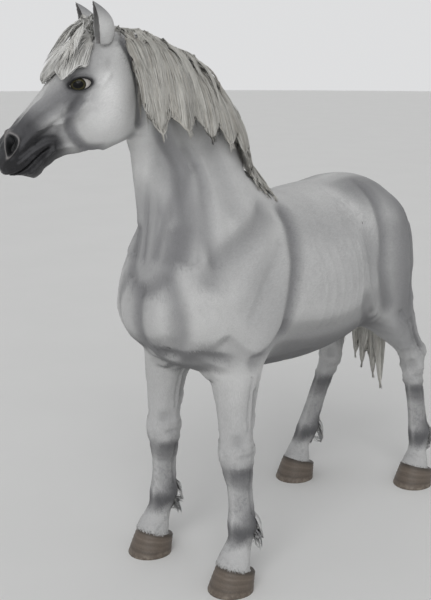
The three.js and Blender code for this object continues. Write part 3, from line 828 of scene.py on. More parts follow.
# One row for each patch, in the order of painting: shade, view, reach in mm, strength in per cent | path in mm.
# Painted light in these rows: the two SLATE rows under the knees are the legs' grey deepened by painted shade below the
# knees; the rows from ASH SIDE 150 62 to ASH FACE_SIDE 55 50 are painted shade on the haunch, croup, barrel, flank,
# belly, shoulder, chest, lower neck, the forehead under the forelock and the side of the face; SLATE FACE_SIDE 36 62 is
# a painted shadow in front of and below the eye; CHALK FACE_SIDE 115 92 is a painted highlight on the round cheek.
PATCH_ROWS = """
SLATE LEG 70 62 | 0,455 0,435
SLATE SHIN 60 50 | -20,455 20,450
ASH LEG 85 45 | 0,330 0,280
SLATE LEG 80 85 | 30,255 50,215
SLATE LEG 50 75 | -50,225 30,205
SLATE SHIN 50 70 | -30,215 30,215
SNOW LEG 50 45 | 0,165 0,130
ASH SIDE 150 62 | 610,1300 640,1100 600,920
ASH SIDE 160 58 | 470,1250 500,1000
ASH SIDE 120 75 | 300,1470 480,1440 600,1340
ASH SIDE 110 22 | -120,1360 100,1340
ASH SIDE 120 30 | 280,1200 300,1050
SLATE SIDE 210 66 | -200,840 50,820 240,860
SMOKE SIDE 240 30 | -50,1200 150,1120
SMOKE SIDE 200 42 | -440,1200 -400,1050
ASH FRONT 120 35 | 0,1050 0,1250
ASH FRONT 130 30 | 0,1380 30,1600
ASH FACE_SIDE 80 42 | 120,0 200,0 260,-20
ASH FACE_SIDE 55 50 | 280,-40 380,-25 460,-20
SLATE FACE_SIDE 95 90 | 450,-60 560,-70
CHARCOAL FACE_SIDE 80 88 | 480,-55 560,-70
SLATE FACE_SIDE 70 85 | 410,-130 560,-130
CHARCOAL FACE_SIDE 95 95 | 510,-70 600,-90
CHARCOAL FACE_SIDE 58 96 | 430,-135 520,-130 600,-115
SLATE FACE_TOP 90 90 | 480,20 600,20
CHARCOAL FACE_TOP 70 85 | 540,20 600,20
CHARCOAL CHIN 90 85 | 430,0 600,0
ASH FACE_SIDE 75 60 | 216,-51 218,-52
SLATE FACE_SIDE 36 62 | 240,-65 285,-80
CHALK FACE_SIDE 115 92 | 150,-160 220,-210
ASH FACE_TOP 45 30 | 216,85 218,87
"""
PATCHES = tuple(
    Patch(View[view], path, float(reach) * MM, Shade[shade], float(strength) / 100)
    for (shade, view, reach, strength), path in read_rows(PATCH_ROWS)
)


def depth_of_coat(spot: Anatomy) -> Array:
    """Returns how far the skin lies under the coat's surface, in metres."""
    return 0.0036 - 0.0022 * spot.in_head - 0.0014 * spot.in_leg


def coat_colours(spot: Anatomy) -> tuple[Array, Array]:
    """Works out the markings, with painted shade in the hollows of the strokes, under the body and the front of the
    neck, on the hindquarters and in some patches, and a painted highlight on the cheek.

    Args:
        spot: measured points of skin or coat.

    Returns:
        The colours of the markings and the painted shade, with mottling in the fourth value, and the pattern: dapples,
        bare skin, leg and head.
    """
    _, y, z = spot.p.T
    along = spot.head[:, 0]
    colour = np.tile(np.array(Shade.SNOW.value), (len(z), 1))

    # Painted shade: surfaces that face down, such as the belly, turn dark grey everywhere but on the head and the lower
    # legs.
    under = ease(-0.2, -0.9, spot.n[:, 2])
    blend(colour, Shade.SLATE, 0.85 * under * ease(0.70, 0.80, z) * (1 - spot.in_head))
    blend(colour, Shade.SMOKE, 0.45 * ease(0.95, 0.60, z) * spot.in_leg)
    # Painted shade under the front of the neck.
    blend(colour, Shade.SMOKE, 0.62 * spot.in_neck * ease(-0.45, -0.66, y))
    # Painted shade on the hindquarters.
    blend(colour, Shade.SMOKE, 0.95 * ease(0.34, 0.54, y) * ease(1.42, 1.20, z) * ease(0.62, 0.72, z))
    # Painted shade along the strokes: in hollows, creases and along the side of the face.
    for stroke in STROKES:
        if stroke.shade:
            near, share = spot.reach(stroke.view, stroke.path, stroke.width * 1.5)
            blend(colour, Shade.ASH, np.minimum(stroke.shade * 1.35 * share, 0.95), near)
    for patch in PATCHES:
        near, share = spot.reach(patch.view, patch.path, patch.width)
        blend(colour, patch.shade, patch.strength * share**0.6, near)
    ear = ease(2.085, 2.15, z) * (y < -0.70)
    blend(colour, Shade.ASH, 0.72 * ear)
    dapple = ease(0.95, 1.10, z) * (1 - spot.in_head) * (0.35 + 0.65 * ease(-0.35, 0.1, y))
    mottle = 0.06 + 0.42 * spot.in_leg * ease(0.62, 0.45, z)
    mottle += 0.5 * spot.in_head * ease(0.38, 0.50, along)
    bare = spot.in_head * ease(0.46, 0.56, along)
    marking_and_painted_shade = np.column_stack((colour, np.clip(mottle, 0, 1)))
    pattern = np.column_stack((dapple, bare, spot.in_leg, spot.in_head + 0.5 * spot.in_neck))
    return marking_and_painted_shade, pattern


# ---- finishes


class Graph:
    """Shader nodes of one material or world."""

    def __init__(self, name: str, library: str = "materials", shader: str = "Principled BSDF") -> None:
        """Starts a material or world.

        Args:
            name: its name.
            library: kind of thing that holds the nodes.
            shader: name of its shader node.
        """
        self.owner = getattr(bpy.data, library).new(name)
        self.owner.use_nodes = True
        self.nodes, self.links = self.owner.node_tree.nodes, self.owner.node_tree.links
        self.shader = self.nodes[shader]
        self.coordinates = self.add("TexCoord").outputs
        self.where = self.coordinates["Object"]

    def set(self, node: bpy.types.Node, values: dict[str | int, object]) -> None:
        """Sets or links a node's inputs.

        Args:
            node: node to fill.
            values: a value, or another node's output, for each input's name or number.
        """
        for name, value in values.items():
            socket = node.inputs[name]
            if isinstance(value, Socket):
                self.links.new(value, socket)
            else:
                socket.default_value = value

    def add(self, kind: str, values: dict[str | int, object] | None = None, **settings: object) -> bpy.types.Node:
        """Adds a node.

        Args:
            kind: node type without its ShaderNode prefix.
            values: inputs.
            settings: properties.

        Returns:
            The node.
        """
        node = self.nodes.new("ShaderNode" + kind)
        for name, value in settings.items():
            setattr(node, name, value)
        self.set(node, values or {})
        return node

    def math(self, operation: str, a: object, b: object = 0.0) -> Socket:
        """Returns the result of one sum on two values."""
        return self.add("Math", {0: a, 1: b}, operation=operation).outputs[0]

    def times(self, a: object, b: object) -> Socket:
        """Returns a product."""
        return self.math("MULTIPLY", a, b)

    def plus(self, a: object, b: object) -> Socket:
        """Returns a sum."""
        return self.math("ADD", a, b)

    def attribute(self, name: str) -> bpy.types.Node:
        """Returns the node that reads an attribute of the piece."""
        return self.add("Attribute", attribute_name=name, attribute_type="GEOMETRY")

    def ramp(self, value: object, low: float, high: float, start: float = 0.0, end: float = 1.0) -> Socket:
        """Returns start to end, smoothly, as value goes from low to high."""
        values = {"Value": value, "From Min": low, "From Max": high, "To Min": start, "To Max": end}
        return self.add("MapRange", values, interpolation_type="SMOOTHSTEP").outputs[0]

    def mix(self, share: object, a: object, b: object, kind: str = "MIX") -> Socket:
        """Mixes two colours.

        Args:
            share: share of the second.
            a, b: the colours.
            kind: way of mixing.

        Returns:
            The mixed colour.
        """
        node = self.add("Mix", data_type="RGBA", blend_type=kind)
        self.set(node, {0: share, 6: a, 7: b})
        return node.outputs[2]

    def noise(self, where: object, scale: float, detail: float = 3.0, rough: float = 0.55) -> Socket:
        """Returns smooth noise from 0 to 1."""
        values = {"Vector": where, "Scale": scale, "Detail": detail, "Roughness": rough}
        return self.add("TexNoise", values).outputs["Fac"]

    def stretch(self, where: object, scale: Colour, turn: Colour = (0.0, 0.0, 0.0)) -> Socket:
        """Returns coordinates scaled, and turned first, about the origin."""
        turned = self.add("Mapping", {"Vector": where, "Rotation": turn}).outputs[0]
        return self.add("Mapping", {"Vector": turned, "Scale": scale}).outputs[0]

    def bump(self, height: object, strength: float, distance: float) -> None:
        """Gives the shader a bump from height."""
        values = {"Height": height, "Strength": strength, "Distance": distance}
        self.set(self.shader, {"Normal": self.add("Bump", values).outputs[0]})


@dataclass(frozen=True)
class CoatFinish:
    """Short grey hair with faint dapples and mottled legs, and the dark skin of muzzle and eyes."""

    dapple_size: float = 0.043
    dapple_depth: float = 0.20
    streak: float = 0.10

    def build(self) -> Finish:
        """Makes the material that skin and coat share.

        Returns:
            The material.
        """
        g = Graph("grey_coat")
        # The markings attribute holds the markings together with painted shade and a painted highlight.
        marking_and_painted_shade = g.attribute("marking_and_painted_shade")
        pattern = g.attribute("pattern")
        split = g.add("SeparateColor", {0: pattern.outputs["Color"]})
        dapple, bare, leg = split.outputs
        face = pattern.outputs["Alpha"]

        along_body = g.noise(g.stretch(g.where, (620, 60, 620), (math.radians(-12), 0, 0)), 1.0, 2.0)
        down_leg = g.noise(g.stretch(g.where, (650, 650, 70)), 1.0, 2.0)
        down_face = g.noise(g.stretch(g.where, (680, 80, 680), (math.radians(-42), 0, math.radians(20))), 1.0, 2.0)
        hair = g.mix(leg, along_body, down_leg)
        hair = g.mix(face, hair, down_face)

        wobble = g.noise(g.where, 9.0, 2.0)
        shifted = g.add("VectorMath", {0: g.where, 1: wobble}, operation="ADD").outputs[0]
        cells = g.add(
            "TexVoronoi",
            {"Vector": shifted, "Scale": 1 / self.dapple_size, "Smoothness": 0.6},
            feature="SMOOTH_F1",
        ).outputs["Distance"]
        spot = g.ramp(cells, 0.30, 0.62)
        cloud = g.ramp(g.noise(g.where, 5.0, 3.0), 0.38, 0.62)
        net = g.times(g.times(spot, cloud), g.times(dapple, self.dapple_depth))
        colour = g.mix(net, marking_and_painted_shade.outputs["Color"], (0.25, 0.25, 0.258, 1))

        fleck = g.ramp(g.noise(g.where, 55.0, 6.0, 0.7), 0.44, 0.60)
        blotch = g.ramp(g.noise(g.where, 16.0, 3.0), 0.36, 0.62)
        speck = g.times(g.times(fleck, blotch), marking_and_painted_shade.outputs["Alpha"])
        colour = g.mix(g.times(speck, 0.55), colour, (0.085, 0.085, 0.092, 1))

        tint = g.ramp(hair, 0.25, 0.75, 1 - self.streak, 1 + self.streak)
        broad = g.ramp(g.noise(g.where, 3.2, 4.0), 0.25, 0.75, 0.95, 1.04)
        g.set(g.shader, {"Base Color": g.mix(1.0, colour, g.times(tint, broad), "MULTIPLY")})

        pores = g.noise(g.where, 900.0, 2.0)
        creases = g.add("TexVoronoi", {"Vector": g.where, "Scale": 300.0}, feature="DISTANCE_TO_EDGE")
        skin = g.plus(g.times(pores, 0.5), g.ramp(creases.outputs["Distance"], 0.0, 0.12, 0.0, 0.5))
        g.bump(g.mix(bare, hair, skin), 0.30, 0.0012)
        g.set(g.shader, {"Roughness": g.ramp(bare, 0.0, 1.0, 0.62, 0.52)})
        g.set(g.shader, {"Specular IOR Level": 0.30, "Sheen Weight": 0.07, "Sheen Roughness": 0.45})
        return g.owner


@dataclass(frozen=True)
class HairFinish:
    """Long off-white hair, finely streaked along each strand."""

    name: str = "long_white_hair"
    roughness: float = 0.42

    def build(self) -> Finish:
        """Makes the material of mane, forelock, tail and feathers.

        Returns:
            The material.
        """
        g = Graph(self.name)
        strand = g.attribute("strand")
        cloudy = g.ramp(g.noise(g.where, 24.0, 3.0), 0.3, 0.7, 0.90, 1.05)
        g.set(g.shader, {"Base Color": g.mix(1.0, strand.outputs["Color"], cloudy, "MULTIPLY")})
        g.set(g.shader, {"Roughness": self.roughness, "Specular IOR Level": 0.45})
        g.bump(g.noise(g.stretch(g.where, (900, 900, 120)), 1.0, 2.0), 0.10, 0.0005)
        return g.owner


@dataclass(frozen=True)
class HornFinish:
    """Brown-grey hoof horn with growth rings, fine tubules and dust near the ground."""

    light: Colour = (0.190, 0.155, 0.125)
    dark: Colour = (0.080, 0.064, 0.052)
    rings: float = 46.0

    def build(self) -> Finish:
        """Makes the material of the hooves.

        Returns:
            The material.
        """
        g = Graph("hoof_horn")
        growth = g.attribute("growth").outputs["Fac"]
        height = g.add("SeparateXYZ", {0: g.where}).outputs["Z"]
        wander = g.times(g.noise(g.where, 14.0, 2.0), 0.16)
        grown = g.plus(growth, wander)
        band = g.noise(g.add("CombineXYZ", {2: grown}).outputs[0], 4.5, 3.0, 0.55)
        tubules = g.noise(g.stretch(g.where, (420, 420, 18)), 1.0, 3.0)
        share = g.ramp(g.plus(g.times(band, 0.7), g.times(tubules, 0.35)), 0.30, 0.80)
        colour = g.mix(share, (*self.dark, 1), (*self.light, 1))
        colour = g.mix(g.ramp(growth, 0.80, 1.0, 0.0, 0.65), colour, (0.035, 0.030, 0.026, 1))
        dust = g.times(g.ramp(height, 0.030, 0.0), g.ramp(g.noise(g.where, 60.0, 4.0), 0.4, 0.65))
        colour = g.mix(g.times(dust, 0.4), colour, (0.36, 0.31, 0.25, 1))
        g.set(g.shader, {"Base Color": colour, "Roughness": g.ramp(tubules, 0.2, 0.8, 0.38, 0.60)})
        g.set(g.shader, {"Specular IOR Level": 0.4})
        ring = g.math("SINE", g.times(grown, self.rings))
        relief = g.plus(g.times(ring, 0.3), g.plus(g.times(band, 1.2), tubules))
        g.bump(relief, 0.20, 0.0010)
        return g.owner


@dataclass(frozen=True)
class EyeFinish:
    """A wet eye: olive-brown iris, wide dark pupil, pale white with a dark rim."""

    pupil: tuple[float, float] = (0.47, 0.37)
    iris: float = 0.68

    def build(self) -> Finish:
        """Makes the material of the eyes, which reads the map that faces the gaze.

        Returns:
            The material.
        """
        g = Graph("wet_eye")
        face = g.add("UVMap", uv_map="gaze").outputs[0]
        part = g.add("SeparateXYZ", {0: face})
        u, v = part.outputs[0], part.outputs[1]

        def ring(wide: float, high: float) -> Socket:
            """Measures the distance from the gaze.

            Args:
                wide: half the width of an ellipse.
                high: half its height.

            Returns:
                The distance in units of the ellipse.
            """
            a = g.math("POWER", g.math("DIVIDE", u, wide), 2.0)
            b = g.math("POWER", g.math("DIVIDE", v, high), 2.0)
            return g.math("SQRT", g.plus(a, b))

        around = g.math("ARCTAN2", v, u)
        spokes = g.add("CombineXYZ", {0: g.times(around, 14.0), 1: g.times(ring(1, 1), 3.0)})
        fibre = g.noise(spokes.outputs[0], 1.6, 4.0)
        iris = g.mix(g.ramp(fibre, 0.3, 0.7), (0.016, 0.014, 0.006, 1), (0.078, 0.070, 0.026, 1))
        iris = g.mix(g.ramp(ring(self.iris, self.iris), 0.72, 1.0), iris, (0.010, 0.008, 0.006, 1))
        veins = g.ramp(g.noise(face, 9.0, 6.0, 0.7), 0.52, 0.62, 0.0, 0.35)
        white = g.mix(veins, (0.55, 0.53, 0.50, 1), (0.28, 0.12, 0.10, 1))
        colour = g.mix(g.ramp(ring(self.iris, self.iris), 0.98, 1.06), iris, white)
        colour = g.mix(g.ramp(ring(*self.pupil), 1.05, 0.92), colour, (0.001, 0.001, 0.0015, 1))
        g.set(g.shader, {"Base Color": colour, "Roughness": 0.40, "Coat Weight": 0.30, "Coat Roughness": 0.02})
        g.set(g.shader, {"Specular IOR Level": 0.08})
        return g.owner


@dataclass(frozen=True)
class FloorFinish:
    """A plain pale floor."""

    colour: Colour = (0.80, 0.80, 0.79)

    def build(self) -> Finish:
        """Makes the floor's material.

        Returns:
            The material.
        """
        g = Graph("pale_floor")
        faint = g.ramp(g.noise(g.where, 1.5, 3.0), 0.3, 0.7, 0.985, 1.0)
        g.set(g.shader, {"Base Color": g.mix(1.0, (*self.colour, 1), faint, "MULTIPLY"), "Roughness": 0.85})
        g.set(g.shader, {"Specular IOR Level": 0.2})
        return g.owner


# ---- the skin


@dataclass
class Ear:
    """A leaf-shaped cup that opens forward."""

    side: int
    length: float = 0.148
    radius: float = 0.037
    rings: int = 26
    around: int = 18

    def directions(self) -> tuple[Array, Array]:
        """Finds how the ear stands.

        Returns:
            Which way it rises and which way it opens.
        """
        forward = np.array((-math.sin(HEAD.turn), -math.cos(HEAD.turn), 0.0))
        left = HEAD.axes()[2]
        rise = unit(UP + 0.35 * forward + 0.17 * self.side * left)
        return rise, unit(forward - rise * (forward @ rise))

    def section(self, share: float) -> tuple[Array, float]:
        """Measures the cup at one height.

        Args:
            share: share of the ear's length.

        Returns:
            The middle and the radius.
        """
        rise, opening = self.directions()
        middle = HEAD.point(0.058, -0.018, self.side * 0.058) + rise * share * self.length
        middle = middle - opening * 0.014 * math.sin(math.pi * share)
        leaf = math.sin(math.pi * (0.2 + share * 0.8)) ** 0.75 if share < 1 else 0.0
        return middle, max(self.radius * leaf * (1.22 - 0.4 * share), 0.0022)

    def build(self) -> Piece:
        """Makes the ear.

        Returns:
            The ear as a closed wall.
        """
        rise, opening = self.directions()
        across = np.cross(rise, opening)
        rows = []
        for ring in range(self.rings):
            share = ring / (self.rings - 1)
            middle, radius = self.section(share)
            spread = 2.55 - 0.55 * share
            wall = min(0.0075 - 0.002 * share, radius * 0.7)
            angles = np.linspace(-spread, spread, self.around)
            out = -np.cos(angles)[:, None] * opening + np.sin(angles)[:, None] * across
            rows.append(np.vstack((middle + out * radius, (middle + out * (radius - wall))[::-1])))
        return tube("ear", np.array(rows))


def tube(name: str, rows: Array) -> Piece:
    """Joins rings of points into a closed tube with flat ends.

    Args:
        name: name of the piece.
        rows: rings of points, (rings, around, 3).

    Returns:
        The closed mesh, its faces pointing outwards.
    """
    rings, around, _ = rows.shape
    piece = primitive(name, "circle", vertices=around, radius=1.0, fill_type="NOTHING")
    with editing(piece):
        for _ in range(rings - 1):
            bpy.ops.mesh.extrude_region_move(TRANSFORM_OT_translate={"value": (0, 0, 1)})
    place(piece, rows.reshape(-1, 3))
    with editing(piece):
        bpy.ops.mesh.fill_holes(sides=0)
        bpy.ops.mesh.quads_convert_to_tris(quad_method="BEAUTY", ngon_method="BEAUTY")
        bpy.ops.mesh.normals_make_consistent(inside=False)
    bpy.ops.object.shade_smooth()
    return piece


@dataclass
class EyeOpening:
    """The almond-shaped opening of the lids over one eyeball, which is a little longer than it is high."""

    side: int
    radius: float = 0.0325
    stretch: float = 1.16
    wide: float = 0.95  # half length of the opening, in eyeball radii
    high: float = 0.58  # how far the upper lid rises above the middle
    low: float = 0.48

    @property
    def middle(self) -> Array:
        """Returns the eyeball's middle."""
        return HEAD.point(0.216, -0.051, self.side * 0.0765)

    def axes(self) -> Array:
        """Finds the opening's directions.

        Returns:
            Rows: length, height and gaze.
        """
        along, out, left = HEAD.axes()
        gaze = unit(left * self.side * 0.93 + along * 0.22 + out * 0.16)
        slope = along * 0.84 + out * 0.54
        length = unit(slope - gaze * (slope @ gaze))
        height = np.cross(gaze, length)
        return np.array((length, height if height @ out > 0 else -height, gaze))

    def local(self, points: Array) -> Array:
        """Returns points about the middle, where the eyeball is a ball of radius 1."""
        return (points - self.middle) @ self.axes().T / (self.radius * np.array((self.stretch, 1.0, 1.0)))

    def world(self, points: Array) -> Array:
        """Turns local points back."""
        return self.middle + (points * self.radius * np.array((self.stretch, 1.0, 1.0))) @ self.axes()

    def measure(self, points: Array) -> tuple[Array, Array, Array, Array]:
        """Measures points about the eye.

        Args:
            points: positions near the eye.

        Returns:
            The local points, their distance, how many times the lid line must grow to reach them (1 is on it),
            and how far they face the gaze.
        """
        at = self.local(points)
        gap = np.linalg.norm(at, axis=1)
        u, v, w = (at / np.maximum(gap, 1e-9)[:, None]).T
        edge = np.where(v > 0, self.high, self.low)
        low, high = np.abs(u) / self.wide, np.full(len(u), 8.0)
        for _ in range(22):
            trial = (low + high) / 2
            inside = np.abs(v) <= trial * edge * np.maximum(1 - (u / (self.wide * trial)) ** 2, 0) ** 0.72
            low, high = np.where(inside, low, trial), np.where(inside, trial, high)
        return at, gap, high, w


@dataclass
class Nostril:
    """A comma-shaped nostril with a raised rim."""

    side: int
    wide: float = 0.0185
    high: float = 0.0305
    depth: float = 0.027

    def measure(self, points: Array) -> tuple[Array, Array]:
        """Measures points about the nostril.

        Args:
            points: positions near it.

        Returns:
            Their distance, where 1 is on the rim, and their height over the middle.
        """
        along, out, left = HEAD.axes()
        facing = unit(left * self.side * 0.80 + along * 0.50 + out * 0.22)
        lengthways = out * 0.80 - along * 0.55
        lengthways = unit(lengthways - facing * (lengthways @ facing))
        across = np.cross(facing, lengthways)
        away = points - HEAD.point(0.517, -0.039, self.side * 0.047)
        u, v, w = away @ across, away @ lengthways, away @ facing
        bent = u + 9.0 * (v - 0.004) ** 2 * -np.sign(across @ along)
        taper = 1 + 0.35 * np.clip(v / self.high, -1, 1)
        return np.hypot(bent / (self.wide * taper), v / self.high), w


# The parting of the lips: along and out.
MOUTH = table("606 -104 | 585 -115 | 560 -122 | 525 -124.5 | 492 -125 | 461 -128 | 434 -135")


@dataclass
class Skin:
    """One skin over trunk, neck, head, ears and legs, with its muscles, joints, veins, lids, nostrils and lips."""

    material: Finish
    piece: Piece = field(init=False)
    voxel: float = 0.0034
    swell: float = 0.0012
    quick_voxel: float = 0.0055
    faces: int = FACES_PER_PIECE
    lid_reach: Place = (0.078, 0.066, 0.050)  # how far round the eye each splitting of the faces goes
    rounds: tuple[int, ...] = (130, 22, 16, 3)  # smoothing of trunk, limbs, head and all

    @property
    def cell(self) -> float:
        """Returns the size of the even faces."""
        return self.voxel

    def measured(self) -> tuple[Array, Anatomy]:
        """Returns the positions of the vertices, and where they lie on the horse."""
        points = positions(self.piece)
        return points, Anatomy(points, normals(self.piece))

    def join(self) -> None:
        """Makes one outer shell of the flesh, the closed eyes and the ears, a little swollen so that they meet."""
        pieces = [node_copy(node, node + "_copy") for node in (*FLESH, *EYES)]
        for piece in pieces:
            place(piece, positions(piece) + normals(piece) * self.swell)
        pieces += [Ear(1).build(), Ear(-1).build()]
        select_only(pieces[0])
        for piece in pieces:
            piece.select_set(True)
        bpy.ops.object.join()
        self.piece = pieces[0]
        self.piece.name = self.piece.data.name = "skin"
        modify(self.piece, "REMESH", mode="VOXEL", voxel_size=self.cell)
        points = positions(self.piece)
        with editing(self.piece, np.arange(len(points)) == points[:, 2].argmax()):
            bpy.ops.mesh.select_linked()
            bpy.ops.mesh.select_all(action="INVERT")
            bpy.ops.mesh.delete(type="VERT")

    def trim_fetlocks(self) -> None:
        """Draws in the tufts behind the fetlocks, which are hair."""
        points, spot = self.measured()
        z = spot.p[:, 2]
        limit = spot.leg_rear * 1.08 + 0.002
        extra = np.clip(spot.leg_y - limit, 0, None) * (spot.in_leg > 0.5) * ease(0.32, 0.27, z)
        points[:, 1] -= extra * 0.75
        place(self.piece, points)

    def smooth(self) -> None:
        """Rounds the facets of the solids away, most on the trunk and least on the ears."""
        _, spot = self.measured()
        z = spot.p[:, 2]
        ear = ease(2.055, 2.075, z) * (spot.p[:, 1] < -0.70) * ease(0.012, 0.022, spot.head[:, 1])
        foot = ease(0.13, 0.10, z)
        trunk = (1 - spot.in_head) * (1 - ease(0.0, 0.6, spot.in_leg)) * (1 - ear)
        limb = np.clip(spot.in_leg, 0, 1) * (1 - foot)
        share = self.voxel / self.cell
        head, everywhere = spot.in_head * (1 - ear), np.ones(len(z))
        for weights, rounds in zip((trunk, limb, head, everywhere), self.rounds):
            group = weight_group(self.piece, "smoothing", weights)
            modify(self.piece, "SMOOTH", factor=0.8, iterations=max(int(rounds * share**2), 1), vertex_group=group)

    def refine(self, level: int) -> None:
        """Splits the faces round the eyes, and on the muzzle, nostrils and lips.

        Args:
            level: 0 for the whole face, 1 for its openings, 2 for the lids only.
        """
        points = positions(self.piece)
        chosen = min_distance(points, [EyeOpening(side).middle for side in (1, -1)]) < self.lid_reach[level]
        along, out, _ = HEAD.measure(points).T
        high = points[:, 2] > 1.5
        if level == 0:
            chosen |= (along > 0.40) & high
        if level == 1:
            ring = np.minimum(*(Nostril(side).measure(points)[0] for side in (1, -1)))
            line = np.interp(along, *MOUTH[::-1].T)
            chosen |= ((ring < 2.0) & (along > 0.42)) | ((along > 0.425) & (np.abs(out - line) < 0.014) & high)
        with editing(self.piece, chosen):
            bpy.ops.mesh.subdivide(number_cuts=1, smoothness=0.0)
            bpy.ops.mesh.vertices_smooth(factor=0.5, repeat=2)

    def carve_muscles(self) -> None:
        """Raises and hollows the skin along the strokes."""
        points, spot = self.measured()
        lift = np.zeros(len(points))
        for stroke in STROKES:
            near, share = spot.reach(stroke.view, stroke.path, stroke.width)
            lift[near] += stroke.height * MM * share
        place(self.piece, points + spot.n * lift[:, None])

    def carve_mouth(self) -> None:
        """Parts the lips with a thin line and rounds them on either side."""
        points, spot = self.measured()
        along, out, _ = spot.head.T
        line = catmull(MOUTH, 6)
        near = np.flatnonzero((along > 0.41) & (out < -0.07) & (out > -0.17))
        gap = np.sqrt(gap_to_line(along[near], out[near], line))
        swell = 0.0018 * np.clip(1 - ((gap - 0.009) / 0.008) ** 2, 0, 1)
        lift = swell - 0.0080 * np.clip(1 - (gap / 0.0036) ** 2, 0, 1)
        points[near] += spot.n[near] * lift[:, None]
        place(self.piece, points)

    def carve_nostrils(self) -> None:
        """Sinks the nostrils and raises their rims."""
        points, facing = positions(self.piece), normals(self.piece)
        for side in (1, -1):
            nostril = Nostril(side)
            ring, level = nostril.measure(points)
            left = HEAD.measure(points)[:, 2] * side
            near = (ring < 2.4) & (level > -0.035) & (left > 0.004)
            rim = np.exp(-(((ring - 1.18) / 0.22) ** 2)) * 0.0042
            hole = ease(1.04, 0.55, ring) * nostril.depth
            points[near] += facing[near] * (rim - hole)[near, None]
        place(self.piece, points)

    def carve_eyes(self) -> None:
        """Opens the lids over the eyeballs, thickens their edges and folds the skin above and below."""
        points = positions(self.piece)
        for side in (1, -1):
            eye = EyeOpening(side)
            near = np.flatnonzero(np.linalg.norm(points - eye.middle, axis=1) < eye.radius * 2.3)
            at, rest, through, w = eye.measure(points[near])
            upper = at[:, 1] > 0
            lid = 1.095 + 0.035 * upper
            blend = ease(2.3, 1.20, through)
            goal = rest + (lid - rest) * blend
            fold = np.exp(-(((through - 1.55) / 0.11) ** 2)) * upper
            brow = np.exp(-(((through - 1.95) / 0.26) ** 2)) * upper
            edge = np.exp(-(((through - 1.14) / 0.10) ** 2))
            pouch = np.exp(-(((through - 1.60) / 0.12) ** 2)) * ~upper
            goal = goal - 0.085 * fold + 0.085 * brow + 0.020 * edge - 0.050 * pouch
            inside = ease(1.02, 0.93, through)
            goal = goal * (1 - inside) + 0.70 * inside
            moved = np.where((w > 0.12) & (rest > 0.5), goal, rest)
            share = ease(0.12, 0.35, w)
            moved = rest + (moved - rest) * share
            points[near] = eye.world(at * (moved / np.maximum(rest, 1e-9))[:, None])
        place(self.piece, points)

    def reduce(self) -> None:
        """Thins the faces, and keeps them fine on the head and the joints."""
        _, spot = self.measured()
        keep = np.clip(0.25 + 0.75 * spot.in_head + 0.45 * spot.in_leg, 0, 1)
        group = weight_group(self.piece, "coarse", np.clip(1 - keep, 0.09, 1))
        count = len(triangles(self.piece))
        log.info("skin before thinning: %d triangles", count)
        if count > self.faces:
            modify(
                self.piece, "DECIMATE", ratio=self.faces / count, use_collapse_triangulate=True,
                vertex_group=group, vertex_group_factor=4e-6,
            )

    def build(self) -> Piece:
        """Makes and dresses the skin.

        Returns:
            The skin.
        """
        self.join()
        self.trim_fetlocks()
        self.smooth()
        for level in range(3):
            self.refine(level)
        self.carve_muscles()
        self.carve_nostrils()
        self.carve_mouth()
        self.carve_eyes()
        self.reduce()
        points, spot = self.measured()
        place(self.piece, points - spot.n * depth_of_coat(spot)[:, None])
        # Markings with painted shade and a painted highlight, for the skin and the tufts.
        marking_and_painted_shade, pattern = coat_colours(spot)
        self.darken_details(points, marking_and_painted_shade, pattern)
        paint(self.piece, "marking_and_painted_shade", marking_and_painted_shade)
        paint(self.piece, "pattern", pattern)
        select_only(self.piece)
        bpy.ops.object.shade_smooth()
        self.piece.vertex_groups.clear()
        finish_piece(self.piece, self.material, "coat", *FLESH, *EARS)
        return self.piece

    def darken_details(self, points: Array, marking_and_painted_shade: Array, pattern: Array) -> None:
        """Colours the lid edges, the nostrils and their pale rims, the lip line and the hollows of the ears; the black
        inside the nostrils and along the lips' parting and the dark in the ears' hollows are painted shade over dark
        skin.

        Args:
            points: positions on the skin.
            marking_and_painted_shade: markings to change.
            pattern: pattern values to change.
        """
        along, out, left = HEAD.measure(points).T
        for side in (1, -1):
            eye = EyeOpening(side)
            near = np.flatnonzero(np.linalg.norm(points - eye.middle, axis=1) < 0.065)
            at, _, through, w = eye.measure(points[near])
            oval = np.hypot(at[:, 0] / eye.wide, (at[:, 1] - 0.05) / 0.62)
            rim, halo = np.zeros((2, len(points)))
            halo[near] = ease(1.85, 1.10, oval) * (w > 0)
            rim[near] = ease(1.40, 1.10, through) * ease(1.42, 1.18, oval) * (w > 0)
            blend(marking_and_painted_shade, Shade.SLATE, 0.55 * halo)
            blend(marking_and_painted_shade, Shade.CHARCOAL, 0.93 * rim)
            pattern[:, 1] = np.maximum(pattern[:, 1], rim)
            ring, level = Nostril(side).measure(points)
            here = (level > -0.05) & (left * side > 0)
            # Painted shade: the dark skin inside the nostril goes black.
            blend(marking_and_painted_shade, Shade.BLACK, ease(1.06, 0.86, ring) * here)
            blend(marking_and_painted_shade, Shade.PALE_SKIN, 0.42 * np.exp(-(((ring - 1.22) / 0.15) ** 2)) * here)
            rise, _ = Ear(side).directions()
            away = points - HEAD.point(0.058, -0.018, side * 0.058)
            up = away @ rise
            steps = np.linspace(0, 1, 12)
            middles, radii = zip(*(Ear(side).section(step) for step in steps))
            share = np.clip(up / Ear.length, 0, 1)
            centre = np.column_stack([np.interp(share, steps, column) for column in np.array(middles).T])
            gap = np.linalg.norm(points - centre, axis=1) / np.interp(share, steps, radii)
            # The ear's hollow: darker inner skin with painted shade.
            cup = ease(0.92, 0.72, gap) * (up > 0.006) * (np.abs(along - 0.03) < 0.14)
            blend(marking_and_painted_shade, Shade.INNER_EAR, 0.75 * cup)
        # Painted shade: a black line along the lips' parting.
        line = np.interp(along, *MOUTH[::-1].T)
        lip = np.exp(-(((out - line) / 0.0035) ** 2)) * ease(0.430, 0.442, along)
        blend(marking_and_painted_shade, Shade.BLACK, lip)


